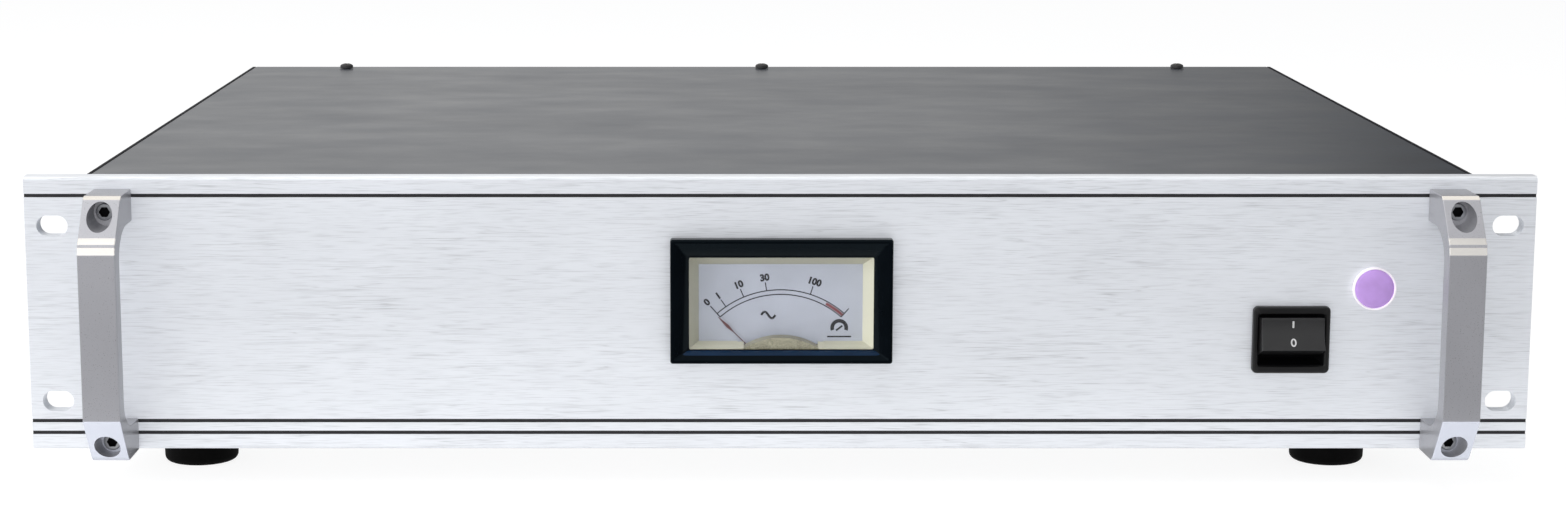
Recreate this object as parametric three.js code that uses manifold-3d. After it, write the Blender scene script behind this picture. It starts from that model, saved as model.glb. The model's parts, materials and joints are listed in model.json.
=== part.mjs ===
// Radio-frequency power amplifier for a 19-inch rack, two units high.
// Millimetres. X runs to the right, Y to the rear and Z up; the feet stand on Z = 0.
// Inside the amplifier group Y is counted from the front face of the panel.

import * as THREE from "three";
import { mergeVertices } from "three/addons/utils/BufferGeometryUtils.js";
import Module from "manifold-3d";

const wasm = await Module();
wasm.setup();

// Driving dimensions
const panelWidth = 482.6;
const panelHeight = 88.9;
const panelThickness = 6;
const earWidth = 18.3;
const bodyDepth = 350;
const handleProjection = 28.5;
const footHeight = 13;
const trayRise = 0.9;
const coverDrop = 0.5;
const sheet = 1.2;
const bend = 2;
const gap = 0.3;
const overrun = 2;
const weldDistance = 0.001;

// Levels and planes that the driving dimensions give
const panelBottom = footHeight - trayRise;
const panelTop = panelBottom + panelHeight;
const coverTop = panelTop - coverDrop;
const trayTop = coverTop - sheet - gap;
const floorTop = footHeight + sheet;
const insideFloor = floorTop + gap;
const behindPanel = panelThickness + gap;
const behindWall = behindPanel + sheet;
const bodyRear = panelThickness + bodyDepth;
const coverWidth = panelWidth - 2 * earWidth;
const trayHalf = coverWidth / 2 - sheet - gap;
const trayInnerHalf = trayHalf - sheet;

// How round each kind of curve is drawn
const roundSides = 24;
const smallSides = 10;
const screwSides = 8;
const leadSides = 6;

// Materials
function material(color, roughness, metalness) {
  return new THREE.MeshStandardMaterial({ color, roughness, metalness });
}
const silver = material(0xd9dce3, 0.38, 0.9);
const handleSilver = material(0xb9bdc6, 0.34, 0.95);
const blackPaint = material(0x3a3c40, 0.45, 0.3);
const zincSheet = material(0xa7a9aa, 0.45, 0.85);
const blackGloss = material(0x0b0f16, 0.18, 0);
const blackPlastic = material(0x222223, 0.4, 0);
const rubber = material(0x101010, 0.8, 0);
const screwSteel = material(0x8d8f92, 0.35, 1);
const dialCream = material(0xd3d2c6, 0.6, 0);
const needleRed = material(0x2a1214, 0.5, 0);
const oliveMetal = material(0x93917f, 0.7, 0.3);
const clear = material(0xffffff, 0.05, 0);
const violetLens = material(0xbc96db, 0.3, 0);
const whitePlastic = material(0xfff7ff, 0.4, 0);
const heatsinkBlack = material(0x1c1d1f, 0.5, 0.7);
const boardGreen = material(0x1f5a34, 0.5, 0);
const nickel = material(0xc5c2b8, 0.25, 1);
const fanBlack = material(0x17181a, 0.6, 0);
const coaxBlack = material(0x131313, 0.5, 0);
const wireRed = material(0x9c1f1f, 0.5, 0);
const wireBlue = material(0x2c3e66, 0.5, 0);

// A closed geometry as a solid that can be cut and joined, and back
function toSolid(geometry) {
  const bare = geometry.index ? geometry.toNonIndexed() : geometry.clone();
  bare.deleteAttribute("normal");
  bare.deleteAttribute("uv");
  const merged = mergeVertices(bare, weldDistance);
  return new wasm.Manifold(
    new wasm.Mesh({
      numProp: 3,
      vertProperties: merged.attributes.position.array,
      triVerts: new Uint32Array(merged.index.array),
    }),
  );
}

function toGeometry(solid) {
  const mesh = solid.getMesh();
  const positions = new Float32Array(mesh.numVert * 3);
  for (let i = 0; i < mesh.numVert; i++) {
    const start = i * mesh.numProp;
    positions.set(mesh.vertProperties.subarray(start, start + 3), i * 3);
  }
  const geometry = new THREE.BufferGeometry();
  geometry.setAttribute("position", new THREE.BufferAttribute(positions, 3));
  geometry.setIndex(new THREE.BufferAttribute(new Uint32Array(mesh.triVerts), 1));
  geometry.computeVertexNormals();
  return geometry;
}

function join(...geometries) {
  return toGeometry(geometries.map(toSolid).reduce((sum, next) => sum.add(next)));
}

function cut(body, ...tools) {
  const all = tools.map(toSolid).reduce((sum, next) => sum.add(next));
  return toGeometry(toSolid(body).subtract(all));
}

function common(a, b) {
  return toGeometry(toSolid(a).intersect(toSolid(b)));
}

// Blocks and rods between two planes
function box(x0, x1, y0, y1, z0, z1) {
  return new THREE.BoxGeometry(x1 - x0, y1 - y0, z1 - z0).translate(
    (x0 + x1) / 2,
    (y0 + y1) / 2,
    (z0 + z1) / 2,
  );
}

function rodY(radius, y0, y1, x = 0, z = 0, sides = smallSides) {
  return new THREE.CylinderGeometry(radius, radius, y1 - y0, sides).translate(x, (y0 + y1) / 2, z);
}

function rodX(radius, x0, x1, y = 0, z = 0, sides = smallSides) {
  return rodY(radius, x0, x1, 0, 0, sides)
    .rotateZ(-Math.PI / 2)
    .translate(0, y, z);
}

function rodZ(radius, z0, z1, x = 0, y = 0, sides = smallSides) {
  return rodY(radius, z0, z1, 0, 0, sides)
    .rotateX(Math.PI / 2)
    .translate(x, y, 0);
}

// Outlines drawn in X and Z
function rectangle(width, height, x = 0, z = 0) {
  const shape = new THREE.Shape();
  shape.moveTo(x - width / 2, z - height / 2);
  shape.lineTo(x + width / 2, z - height / 2);
  shape.lineTo(x + width / 2, z + height / 2);
  shape.lineTo(x - width / 2, z + height / 2);
  return shape;
}

function roundedRectangle(width, height, radius, x = 0, z = 0) {
  const right = x + width / 2 - radius;
  const left = x - width / 2 + radius;
  const top = z + height / 2 - radius;
  const bottom = z - height / 2 + radius;
  const shape = new THREE.Shape();
  shape.absarc(right, top, radius, 0, Math.PI / 2);
  shape.absarc(left, top, radius, Math.PI / 2, Math.PI);
  shape.absarc(left, bottom, radius, Math.PI, 1.5 * Math.PI);
  shape.absarc(right, bottom, radius, 1.5 * Math.PI, 2 * Math.PI);
  return shape;
}

function disc(radius, x = 0, z = 0, sides = roundSides) {
  const shape = new THREE.Shape();
  shape.moveTo(x + radius, z);
  for (let i = 1; i < sides; i++) {
    const angle = (i * 2 * Math.PI) / sides;
    shape.lineTo(x + radius * Math.cos(angle), z + radius * Math.sin(angle));
  }
  return shape;
}

function obround(length, height, x = 0, z = 0) {
  const reach = (length - height) / 2;
  const shape = new THREE.Shape();
  shape.absarc(x + reach, z, height / 2, -Math.PI / 2, Math.PI / 2);
  shape.absarc(x - reach, z, height / 2, Math.PI / 2, 1.5 * Math.PI);
  return shape;
}

function arcSlot(inner, outer, from, to, x = 0, z = 0) {
  const shape = new THREE.Shape();
  shape.absarc(x, z, outer, from, to);
  shape.absarc(x, z, inner, to, from, true);
  return shape;
}

// Extrusions: an X-Z outline along Y, a Y-Z outline along X
function extrudeY(shape, y0, y1, curveSegments = 3) {
  return new THREE.ExtrudeGeometry(shape, { depth: y1 - y0, bevelEnabled: false, curveSegments })
    .rotateX(Math.PI / 2)
    .translate(0, y1, 0);
}

function extrudeX(shape, width, bevelSize = 0, curveSegments = 3) {
  return new THREE.ExtrudeGeometry(shape, {
    depth: width - 2 * bevelSize,
    bevelEnabled: bevelSize > 0,
    bevelSize,
    bevelThickness: bevelSize,
    bevelOffset: -bevelSize,
    bevelSegments: 1,
    curveSegments,
  })
    .translate(0, 0, bevelSize - width / 2)
    .rotateX(Math.PI / 2)
    .rotateZ(Math.PI / 2);
}

// A profile of radius and height turned about the Y axis
function turned(profile, sides = roundSides) {
  return new THREE.LatheGeometry(
    profile.map(([radius, y]) => new THREE.Vector2(radius, y)),
    sides,
  );
}

// A solid through rings of equal point counts, closed at both ends
function loft(rings) {
  const count = rings[0].length;
  const last = (rings.length - 1) * count;
  const positions = rings.flat(2);
  const index = [];
  for (let ring = 0; ring + 1 < rings.length; ring++) {
    for (let i = 0; i < count; i++) {
      const a = ring * count + i;
      const b = ring * count + ((i + 1) % count);
      index.push(a, b, b + count, a, b + count, a + count);
    }
  }
  for (let i = 1; i + 1 < count; i++) {
    index.push(0, i + 1, i, last, last + i, last + i + 1);
  }
  const geometry = new THREE.BufferGeometry();
  geometry.setAttribute("position", new THREE.Float32BufferAttribute(positions, 3));
  geometry.setIndex(index);
  return geometry;
}

// A rectangle's corners in the plane at y, for a loft along Y
function corners(width, height, y, x = 0, z = 0) {
  return [
    [x - width / 2, y, z - height / 2],
    [x - width / 2, y, z + height / 2],
    [x + width / 2, y, z + height / 2],
    [x + width / 2, y, z - height / 2],
  ];
}

// A tapered rectangular block between two planes
function taper(front, back) {
  return loft([corners(...front), corners(...back)]);
}

// The amplifier, with the origin of its group midway between handle fronts and connector ends
const amplifier = new THREE.Group();

function add(name, geometry, surface, x = 0, y = 0, z = 0) {
  const mesh = new THREE.Mesh(geometry, surface);
  mesh.name = name;
  mesh.position.set(x, y, z);
  amplifier.add(mesh);
  return mesh;
}

// Screws: the head's underside lies at y = 0 and the head points to -Y
const handleScrew = {
  headRadius: 2.75,
  headLength: 3,
  shankRadius: 1.5,
  socket: 2.5,
  socketDepth: 1.6,
  chamfer: 0.3,
};

function socketScrew(size, length) {
  const body = turned(
    [
      [0, -size.headLength],
      [size.headRadius - size.chamfer, -size.headLength],
      [size.headRadius, size.chamfer - size.headLength],
      [size.headRadius, 0],
      [size.shankRadius, 0],
      [size.shankRadius, length],
      [0, length],
    ],
    screwSides,
  );
  const socketRadius = size.socket / Math.sqrt(3);
  const socket = rodY(
    socketRadius,
    -size.headLength - overrun,
    size.socketDepth - size.headLength,
    0,
    0,
    6,
  );
  return cut(body, socket);
}

const sheetScrew = {
  headRadius: 2.8,
  headLength: 1.9,
  shankRadius: 1.5,
  recessWidth: 0.8,
  recessDepth: 1,
};
const footScrew = {
  headRadius: 4,
  headLength: 2.6,
  shankRadius: 2,
  recessWidth: 1,
  recessDepth: 1.4,
};
const crownShare = 0.72;

function panScrew(size, length) {
  const body = turned(
    [
      [0, -size.headLength],
      [size.headRadius * crownShare, -size.headLength],
      [size.headRadius, (crownShare - 1) * size.headLength],
      [size.headRadius, 0],
      [size.shankRadius, 0],
      [size.shankRadius, length],
      [0, length],
    ],
    screwSides,
  );
  const reach = size.headRadius * crownShare * crownShare;
  const half = size.recessWidth / 2;
  const front = -size.headLength - overrun;
  const floor = size.recessDepth - size.headLength;
  return cut(
    body,
    box(-reach, reach, front, floor, -half, half),
    box(-half, half, front, floor, -reach, reach),
  );
}

// Front panel: a grooved bar with rack slots and openings for what it carries
const panelEdgeRadius = 1.2;
const grooveWidth = 1.1;
const grooveDepth = 0.8;
const topGrooveDrop = 6.1;
const upperFootGroove = 9.4;
const lowerFootGroove = 5.5;
const grooveLevels = [panelHeight - topGrooveDrop, upperFootGroove, lowerFootGroove];
const rackSlotInset = 8.75;
const rackSlotEnd = 15.875;
const rackSlotSpacing = panelWidth - 2 * rackSlotInset;
const rackSlotRise = panelHeight - 2 * rackSlotEnd;
const rackSlotLength = 10;
const rackSlotHeight = 6.6;

function panelProfile() {
  const shape = new THREE.Shape();
  shape.moveTo(panelEdgeRadius, panelBottom);
  shape.lineTo(panelThickness, panelBottom);
  shape.lineTo(panelThickness, panelTop);
  shape.absarc(panelEdgeRadius, panelTop - panelEdgeRadius, panelEdgeRadius, Math.PI / 2, Math.PI);
  for (const level of grooveLevels) {
    const middle = panelBottom + level;
    shape.lineTo(0, middle + grooveWidth / 2);
    shape.lineTo(grooveDepth, middle + grooveWidth / 2);
    shape.lineTo(grooveDepth, middle - grooveWidth / 2);
    shape.lineTo(0, middle - grooveWidth / 2);
  }
  const low = panelBottom + panelEdgeRadius;
  shape.absarc(panelEdgeRadius, low, panelEdgeRadius, Math.PI, 1.5 * Math.PI);
  return shape;
}

// Handles: one extruded profile each, with a step between the upper boss and the grip
const handleDrop = 3.9;
const handleWidth = 11.8;
const handleInset = 28.5;
const handleLength = panelHeight - handleDrop;
const handleSpacing = panelWidth - 2 * handleInset;
const handleEdge = 0.6;
const handleScrewMargin = 5.5;
const gripThickness = 6.8;
const postHeight = 10.3;
const postDepth = 8.3;
const innerCurveHeight = 10;
const endFaceDepth = 15.6;
const endBevelDepth = 1.8;
const endBevelDrop = 1.2;
const bossFaceDepth = 8.6;
const bossFaceDrop = 10.6;
const ledgeDrop = 2;
const stepDrop = 0.7;
const gripEdgeDrop = 2.3;
const gripEdgeDepth = 0.6;
const lowerGripDrop = 3.4;
const counterboreRadius = 4;
const counterboreFloor = 10;
const innerCurveSteps = 6;

function handleProfile() {
  const top = handleLength / 2;
  const bossTop = top - endBevelDrop;
  const bossStart = endFaceDepth + endBevelDepth;
  const bossEnd = bossStart + bossFaceDepth;
  const ledgeTop = bossTop - bossFaceDrop;
  const stepTop = ledgeTop - ledgeDrop;
  const stepEnd = stepTop - stepDrop;
  const gripInner = handleProjection - gripThickness;
  const boss = [
    [0, top],
    [endFaceDepth, top],
    [bossStart, bossTop],
    [bossEnd, ledgeTop],
  ];
  const upper = [
    ...boss,
    [handleProjection - gripEdgeDepth, stepTop],
    [handleProjection - gripEdgeDepth, stepEnd],
    [handleProjection, stepEnd - gripEdgeDrop],
  ];
  const lower = [...boss, [handleProjection, ledgeTop - lowerGripDrop]];
  const inner = [[0, top - postHeight]];
  for (let i = 0; i <= innerCurveSteps; i++) {
    const angle = ((i / innerCurveSteps) * Math.PI) / 2;
    inner.push([
      postDepth + (gripInner - postDepth) * Math.sin(angle),
      top - postHeight - innerCurveHeight * (1 - Math.cos(angle)),
    ]);
  }
  const mirrored = (points) => points.map(([out, z]) => [out, -z]).reverse();
  const innerSide = [...mirrored(inner).reverse(), ...[...inner].reverse()];
  const outline = [...upper, ...mirrored(lower), ...innerSide];
  return new THREE.Shape(outline.map(([out, z]) => new THREE.Vector2(-out, z)));
}

const handleMiddle = panelBottom + handleLength / 2;
const handleScrewRise = handleLength / 2 - handleScrewMargin;
const handleScrewReach = counterboreFloor + gap + behindWall + overrun;
const handleClearance = handleScrew.shankRadius + gap;

function handleGeometry() {
  const body = extrudeX(handleProfile(), handleWidth, handleEdge);
  const bores = [-handleScrewRise, handleScrewRise].flatMap((z) => [
    rodY(counterboreRadius, -handleProjection - overrun, -counterboreFloor, 0, z, roundSides),
    rodY(handleClearance, -counterboreFloor - overrun, overrun, 0, z),
  ]);
  return cut(body, ...bores);
}

const handleSides = [
  { side: "left", x: -handleSpacing / 2 },
  { side: "right", x: handleSpacing / 2 },
];
const handleScrewLevels = [
  { level: "top", z: handleMiddle + handleScrewRise },
  { level: "bottom", z: handleMiddle - handleScrewRise },
];
const handleShape = handleGeometry();
const handleScrewShape = socketScrew(handleScrew, handleScrewReach);
const screwSeat = -gap - counterboreFloor - gap;
for (const { side, x } of handleSides) {
  add(side + "_handle", handleShape, handleSilver, x, -gap, handleMiddle);
  for (const { level, z } of handleScrewLevels) {
    add("handle_screw_" + side + "_" + level, handleScrewShape, screwSteel, x, screwSeat, z);
  }
}

// Power meter: bezel, window, dial tray, movement cover, needle, case and movement
const meterX = 0.5;
const dialWidth = 53;
const dialHeight = 25.2;
const traySlopeX = 3.1;
const traySlopeZ = 2.3;
const funnelX = 6;
const funnelZ = 5.3;
const windowWidth = dialWidth + 2 * traySlopeX;
const windowHeight = dialHeight + 2 * traySlopeZ;
const bezelWidth = windowWidth + 2 * funnelX;
const bezelHeight = windowHeight + 2 * funnelZ;
const bezelRise = 49;
const windowDrop = 1;
const dialDrop = 1.4;
const pivotDrop = 24.4;
const bezelMiddle = panelBottom + bezelRise;
const windowMiddle = bezelMiddle - windowDrop;
const dialMiddle = windowMiddle - dialDrop;
const pivotZ = dialMiddle - pivotDrop;
const bezelProud = 4;
const bezelRim = 1.2;
const windowSink = 2.8;
const windowThickness = 1.5;
const windowLap = 0.8;
const collarWall = 1.4;
const dialFace = 8.8;
const dialPlate = 1;
const trayWall = 1;
const needleReach = 28.4;
const needleRest = THREE.MathUtils.degToRad(45.5);
const needleWidth = 0.8;
const needleTip = 0.35;
const needleThickness = 0.4;
const needleStandoff = 1.1;
const needleTail = 6;
const hubRadius = 2.6;
const hubLength = 1.2;
const spindleRadius = 0.8;
const spindleLength = 8;
const spindleClearance = 0.2;
const coverRadius = 30;
const coverCrownRise = 3.3;
const coverFront = 1.4;
const crownSides = 48;
const caseWall = 1.5;
const caseSideMargin = 2.4;
const caseDrop = 14;
const caseDepth = 30;
const terminalRadius = 2;
const terminalLength = 5;
const terminalSpacing = 26;

const glassFront = -bezelProud + windowSink;
const glassBack = glassFront + windowThickness;
const collarWidth = windowWidth + 2 * (windowLap + gap + collarWall);
const collarHeight = windowHeight + 2 * (windowLap + gap + collarWall);
const windowCutWidth = collarWidth + 2 * gap;
const windowCutHeight = collarHeight + 2 * gap;

function meterBezel() {
  const flange = box(
    -bezelWidth / 2,
    bezelWidth / 2,
    -bezelProud,
    -gap,
    bezelMiddle - bezelHeight / 2,
    bezelMiddle + bezelHeight / 2,
  );
  const collar = extrudeY(
    rectangle(collarWidth, collarHeight, 0, windowMiddle),
    -gap - overrun / 2,
    panelThickness,
  );
  const funnelSlopeX = (bezelWidth - 2 * bezelRim - windowWidth) / windowSink;
  const funnelSlopeZ = (bezelHeight - 2 * bezelRim - windowHeight) / windowSink;
  const funnelShift = (bezelMiddle - windowMiddle) / windowSink;
  const funnel = taper(
    [
      windowWidth + funnelSlopeX * (windowSink + overrun),
      windowHeight + funnelSlopeZ * (windowSink + overrun),
      -bezelProud - overrun,
      0,
      windowMiddle + funnelShift * (windowSink + overrun),
    ],
    [windowWidth, windowHeight, glassFront, 0, windowMiddle],
  );
  const throat = extrudeY(
    rectangle(windowWidth, windowHeight, 0, windowMiddle),
    glassFront - overrun / 2,
    panelThickness + overrun,
  );
  const pocket = extrudeY(
    rectangle(
      windowWidth + 2 * (windowLap + gap),
      windowHeight + 2 * (windowLap + gap),
      0,
      windowMiddle,
    ),
    glassFront,
    panelThickness + overrun,
  );
  return cut(join(flange, collar), funnel, throat, pocket);
}

function meterWindow() {
  return extrudeY(
    rectangle(windowWidth + 2 * windowLap, windowHeight + 2 * windowLap, 0, windowMiddle),
    glassFront + gap,
    glassBack,
  );
}

const trayFront = glassBack + gap;
const caseWidth = collarWidth + 2 * caseSideMargin;
const caseTop = windowMiddle + collarHeight / 2 + caseSideMargin;
const caseBottom = pivotZ - caseDrop;
const caseFront = behindPanel;
const caseRear = caseFront + caseDepth;
const caseInnerWidth = caseWidth - 2 * caseWall;
const caseMiddle = (caseTop + caseBottom) / 2;
const caseHeight = caseTop - caseBottom;
const slotHalf = Math.sqrt(coverRadius ** 2 - (coverRadius - coverCrownRise) ** 2);
const coverCentre = windowMiddle - windowHeight / 2 + coverCrownRise - coverRadius;
const needleBack = dialFace - needleStandoff;
const needleFront = needleBack - needleThickness;

// The dial tray: four walls that slope in to the dial plate, open below for the needle
function meterDial() {
  const rearMargin = 2 * trayWall;
  const outer = taper(
    [windowWidth + windowLap, windowHeight + windowLap, trayFront, 0, windowMiddle],
    [dialWidth + rearMargin, dialHeight + rearMargin, dialFace, 0, dialMiddle],
  );
  const inner = taper(
    [windowWidth, windowHeight, trayFront, 0, windowMiddle],
    [dialWidth, dialHeight, dialFace, 0, dialMiddle],
  );
  const plateTop = caseTop - caseWall - gap;
  const plateBottom = dialMiddle - dialHeight / 2 - trayWall;
  const plate = box(
    gap - caseInnerWidth / 2,
    caseInnerWidth / 2 - gap,
    dialFace,
    dialFace + dialPlate,
    plateBottom,
    plateTop,
  );
  const needleSlot = box(
    -slotHalf - gap,
    slotHalf + gap,
    trayFront - overrun,
    dialFace,
    plateBottom - overrun,
    dialMiddle,
  );
  return join(cut(outer, inner, needleSlot), plate);
}

function movementCover() {
  const depth = needleFront - gap - coverFront;
  const crown = extrudeY(
    disc(coverRadius, 0, coverCentre, crownSides),
    coverFront,
    coverFront + depth,
  );
  const seat = windowMiddle - collarHeight / 2 + collarWall + gap;
  const keep = box(-slotHalf, slotHalf, 0, dialFace, seat, windowMiddle);
  return common(crown, keep);
}

function meterCase() {
  const outside = extrudeY(rectangle(caseWidth, caseHeight, 0, caseMiddle), caseFront, caseRear);
  const inside = box(
    -caseInnerWidth / 2,
    caseInnerWidth / 2,
    caseFront - overrun,
    caseRear - caseWall,
    caseBottom + caseWall,
    caseTop - caseWall,
  );
  const studs = [-terminalSpacing / 2, terminalSpacing / 2].map((x) =>
    rodY(terminalRadius, caseRear - caseWall / 2, caseRear + terminalLength, x, caseMiddle),
  );
  return join(cut(outside, inside), ...studs);
}

const movementRadius = caseDrop - caseWall - gap;
const movementFront = dialFace + dialPlate + gap;
const movementRear = caseRear - caseWall - gap;

function meterMovement() {
  const magnet = rodY(movementRadius, movementFront, movementRear, 0, pivotZ, roundSides);
  const bore = rodY(
    spindleRadius + spindleClearance,
    movementFront - overrun,
    movementFront + spindleLength + gap,
    0,
    pivotZ,
  );
  return cut(magnet, bore);
}

// The needle is drawn upright about its pivot and turned to its rest angle
function meterNeedle() {
  const section = (width, z) => [
    [-width / 2, needleFront, z],
    [width / 2, needleFront, z],
    [width / 2, needleBack, z],
    [-width / 2, needleBack, z],
  ];
  const pointer = loft([section(needleWidth, -needleTail), section(needleTip, needleReach)]);
  const hub = rodY(hubRadius, needleFront, needleFront + hubLength);
  const spindle = rodY(
    spindleRadius,
    needleBack - needleThickness / 2,
    movementFront + spindleLength,
  );
  return join(pointer, hub, spindle);
}

add("meter_bezel", meterBezel(), blackGloss, meterX);
add("meter_window", meterWindow(), clear, meterX);
add("meter_dial", meterDial(), dialCream, meterX);
add("meter_movement_cover", movementCover(), oliveMetal, meterX);
add("meter_case", meterCase(), blackPlastic, meterX);
add("meter_movement", meterMovement(), screwSteel, meterX);
const needle = add("meter_needle", meterNeedle(), needleRed, meterX, 0, pivotZ);
needle.rotation.y = -needleRest;

// Mains switch: a housing with a rocker that is pressed in at the top, which is on
const switchInset = 77.15;
const switchRise = 36.2;
const switchX = panelWidth / 2 - switchInset;
const switchZ = panelBottom + switchRise;
const switchBezelWidth = 24.8;
const switchBezelHeight = 21.8;
const switchBezelProud = 2;
const switchBezelRadius = 1;
const switchOpeningWidth = 20.8;
const switchOpeningHeight = 16.2;
const switchWall = 1.3;
const switchDepth = 22;
const rockerSideGap = 0.3;
const rockerPivotDepth = 4;
const rockerFaceReach = 10;
const rockerFaceHalf = 5.3;
const rockerShoulder = 6.2;
const rockerShoulderReach = 1;
const rockerHeelHalf = 4.6;
const rockerHeelReach = 4.5;
const rockerDish = 0.5;
const rockerThrow = THREE.MathUtils.degToRad(15);
const rockerPinRadius = 1.2;
const rockerPinLength = 0.9;
const pinClearance = 0.15;
const bladeWidth = 6.3;
const bladeThickness = 0.8;
const bladeLength = 8;
const bladeSpacing = 9;
const switchBodyWidth = switchOpeningWidth + 2 * switchWall;
const switchBodyHeight = switchOpeningHeight + 2 * switchWall;

function switchBody() {
  const bezel = extrudeY(
    roundedRectangle(switchBezelWidth, switchBezelHeight, switchBezelRadius),
    -switchBezelProud - gap,
    -gap,
  );
  const housing = extrudeY(
    rectangle(switchBodyWidth, switchBodyHeight),
    -gap - switchBezelProud / 2,
    switchDepth,
  );
  const cavity = extrudeY(
    rectangle(switchOpeningWidth, switchOpeningHeight),
    -switchBezelProud - overrun,
    rockerPivotDepth + Math.hypot(rockerHeelReach, rockerHeelHalf) + gap,
  );
  const pinHole = rodX(
    rockerPinRadius + pinClearance,
    -switchOpeningWidth / 2 - rockerPinLength,
    switchOpeningWidth / 2 + rockerPinLength,
    rockerPivotDepth,
    0,
    roundSides,
  );
  const blades = [-1, 1].flatMap((row) =>
    [-1, 1].map((column) => {
      const x = (column * bladeSpacing) / 2;
      const z = (row * bladeSpacing) / 2;
      return box(
        x - bladeThickness / 2,
        x + bladeThickness / 2,
        switchDepth - overrun,
        switchDepth + bladeLength,
        z - bladeWidth / 2,
        z + bladeWidth / 2,
      );
    }),
  );
  return join(cut(join(bezel, housing), cavity, pinHole), ...blades);
}

// The rocker about its pivot: a dished face between two sloping ends and a narrower heel
function rockerGeometry() {
  const shape = new THREE.Shape();
  shape.moveTo(-rockerFaceReach, -rockerFaceHalf);
  shape.quadraticCurveTo(2 * rockerDish - rockerFaceReach, 0, -rockerFaceReach, rockerFaceHalf);
  shape.lineTo(-rockerShoulderReach, rockerShoulder);
  shape.lineTo(rockerHeelReach, rockerHeelHalf);
  shape.lineTo(rockerHeelReach, -rockerHeelHalf);
  shape.lineTo(-rockerShoulderReach, -rockerShoulder);
  const width = switchOpeningWidth - 2 * rockerSideGap;
  const pinReach = switchOpeningWidth / 2 + rockerPinLength - pinClearance;
  const body = extrudeX(shape, width);
  return join(body, rodX(rockerPinRadius, -pinReach, pinReach, 0, 0, roundSides));
}

add("switch_body", switchBody(), blackPlastic, switchX, 0, switchZ);
const rocker = add(
  "power_rocker",
  rockerGeometry(),
  blackPlastic,
  switchX,
  rockerPivotDepth,
  switchZ,
);
rocker.rotation.x = -rockerThrow;

// Pilot lamp: a white ring with a threaded barrel, a violet lens and a nut behind the wall
const lampInset = 50.9;
const lampRise = 52.8;
const lampX = panelWidth / 2 - lampInset;
const lampZ = panelBottom + lampRise;
const lampRingRadius = 6.95;
const lampRingProud = 1.5;
const lampRingWall = 0.6;
const lampBarrelRadius = 5;
const lampBarrelLength = 26;
const lampPocketDepth = 1.1;
const lensCrown = 0.5;
const lampNutAcross = 14;
const lampNutThickness = 2.5;
const lampPinRadius = 0.8;
const lampPinLength = 4;
const lampPinSpacing = 5;

function lampBody() {
  const front = -gap - lampRingProud;
  const body = turned([
    [0, front + lampPocketDepth],
    [lampRingRadius - lampRingWall, front + lampPocketDepth],
    [lampRingRadius - lampRingWall, front],
    [lampRingRadius, front],
    [lampRingRadius, -gap],
    [lampBarrelRadius, -gap],
    [lampBarrelRadius, lampBarrelLength],
    [0, lampBarrelLength],
  ]);
  const pins = [-lampPinSpacing / 2, lampPinSpacing / 2].map((x) =>
    rodY(lampPinRadius, lampBarrelLength - overrun, lampBarrelLength + lampPinLength, x, 0, 8),
  );
  return join(body, ...pins);
}

function lampLens() {
  const seat = lampPocketDepth - gap - lampRingProud - gap;
  const edge = seat - lampPocketDepth + gap;
  const radius = lampRingRadius - lampRingWall - gap;
  return turned([
    [0, edge - lensCrown],
    [radius * crownShare, edge - lensCrown * crownShare],
    [radius, edge],
    [radius, seat],
    [0, seat],
  ]);
}

function lampNut() {
  const nutRadius = lampNutAcross / Math.sqrt(3);
  const nutFront = behindWall + gap;
  return cut(
    rodY(nutRadius, nutFront, nutFront + lampNutThickness, 0, 0, 6),
    rodY(lampBarrelRadius + gap, 0, nutFront + lampNutThickness + overrun, 0, 0, roundSides),
  );
}

add("lamp_body", lampBody(), whitePlastic, lampX, 0, lampZ);
add("lamp_lens", lampLens(), violetLens, lampX, 0, lampZ);
add("lamp_nut", lampNut(), nickel, lampX, 0, lampZ);

function frontPanel() {
  const bar = extrudeX(panelProfile(), panelWidth);
  const panelMiddle = panelBottom + panelHeight / 2;
  const slots = [-1, 1].flatMap((row) =>
    [-1, 1].map((column) =>
      extrudeY(
        obround(
          rackSlotLength,
          rackSlotHeight,
          (column * rackSlotSpacing) / 2,
          panelMiddle + (row * rackSlotRise) / 2,
        ),
        -overrun,
        panelThickness + overrun,
        4,
      ),
    ),
  );
  const screwHoles = handleSides.flatMap(({ x }) =>
    handleScrewLevels.map(({ z }) => rodY(handleClearance, -overrun, panelThickness + overrun, x, z)),
  );
  return cut(bar, ...slots, ...screwHoles, ...panelOpenings(-overrun, panelThickness + overrun));
}

// The openings that the meter's collar, the switch and the lamp need
function panelOpenings(y0, y1) {
  return [
    extrudeY(rectangle(windowCutWidth, windowCutHeight, meterX, windowMiddle), y0, y1),
    extrudeY(
      rectangle(switchBodyWidth + 2 * gap, switchBodyHeight + 2 * gap, switchX, switchZ),
      y0,
      y1,
    ),
    rodY(lampBarrelRadius + gap, y0, y1, lampX, lampZ, roundSides),
  ];
}

add("front_panel", frontPanel(), silver);

// A sheet channel along Y: the web at z = 0 and two legs that rise to the given height
function channel(half, height, y0, y1) {
  const shape = new THREE.Shape();
  const inside = bend - sheet;
  shape.moveTo(half, height);
  shape.lineTo(half - sheet, height);
  shape.absarc(half - bend, bend, inside, 0, -Math.PI / 2, true);
  shape.absarc(bend - half, bend, inside, -Math.PI / 2, -Math.PI, true);
  shape.lineTo(sheet - half, height);
  shape.lineTo(-half, height);
  shape.absarc(bend - half, bend, bend, Math.PI, 1.5 * Math.PI);
  shape.absarc(half - bend, bend, bend, 1.5 * Math.PI, 2 * Math.PI);
  return extrudeY(shape, y0, y1, 2);
}

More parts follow.
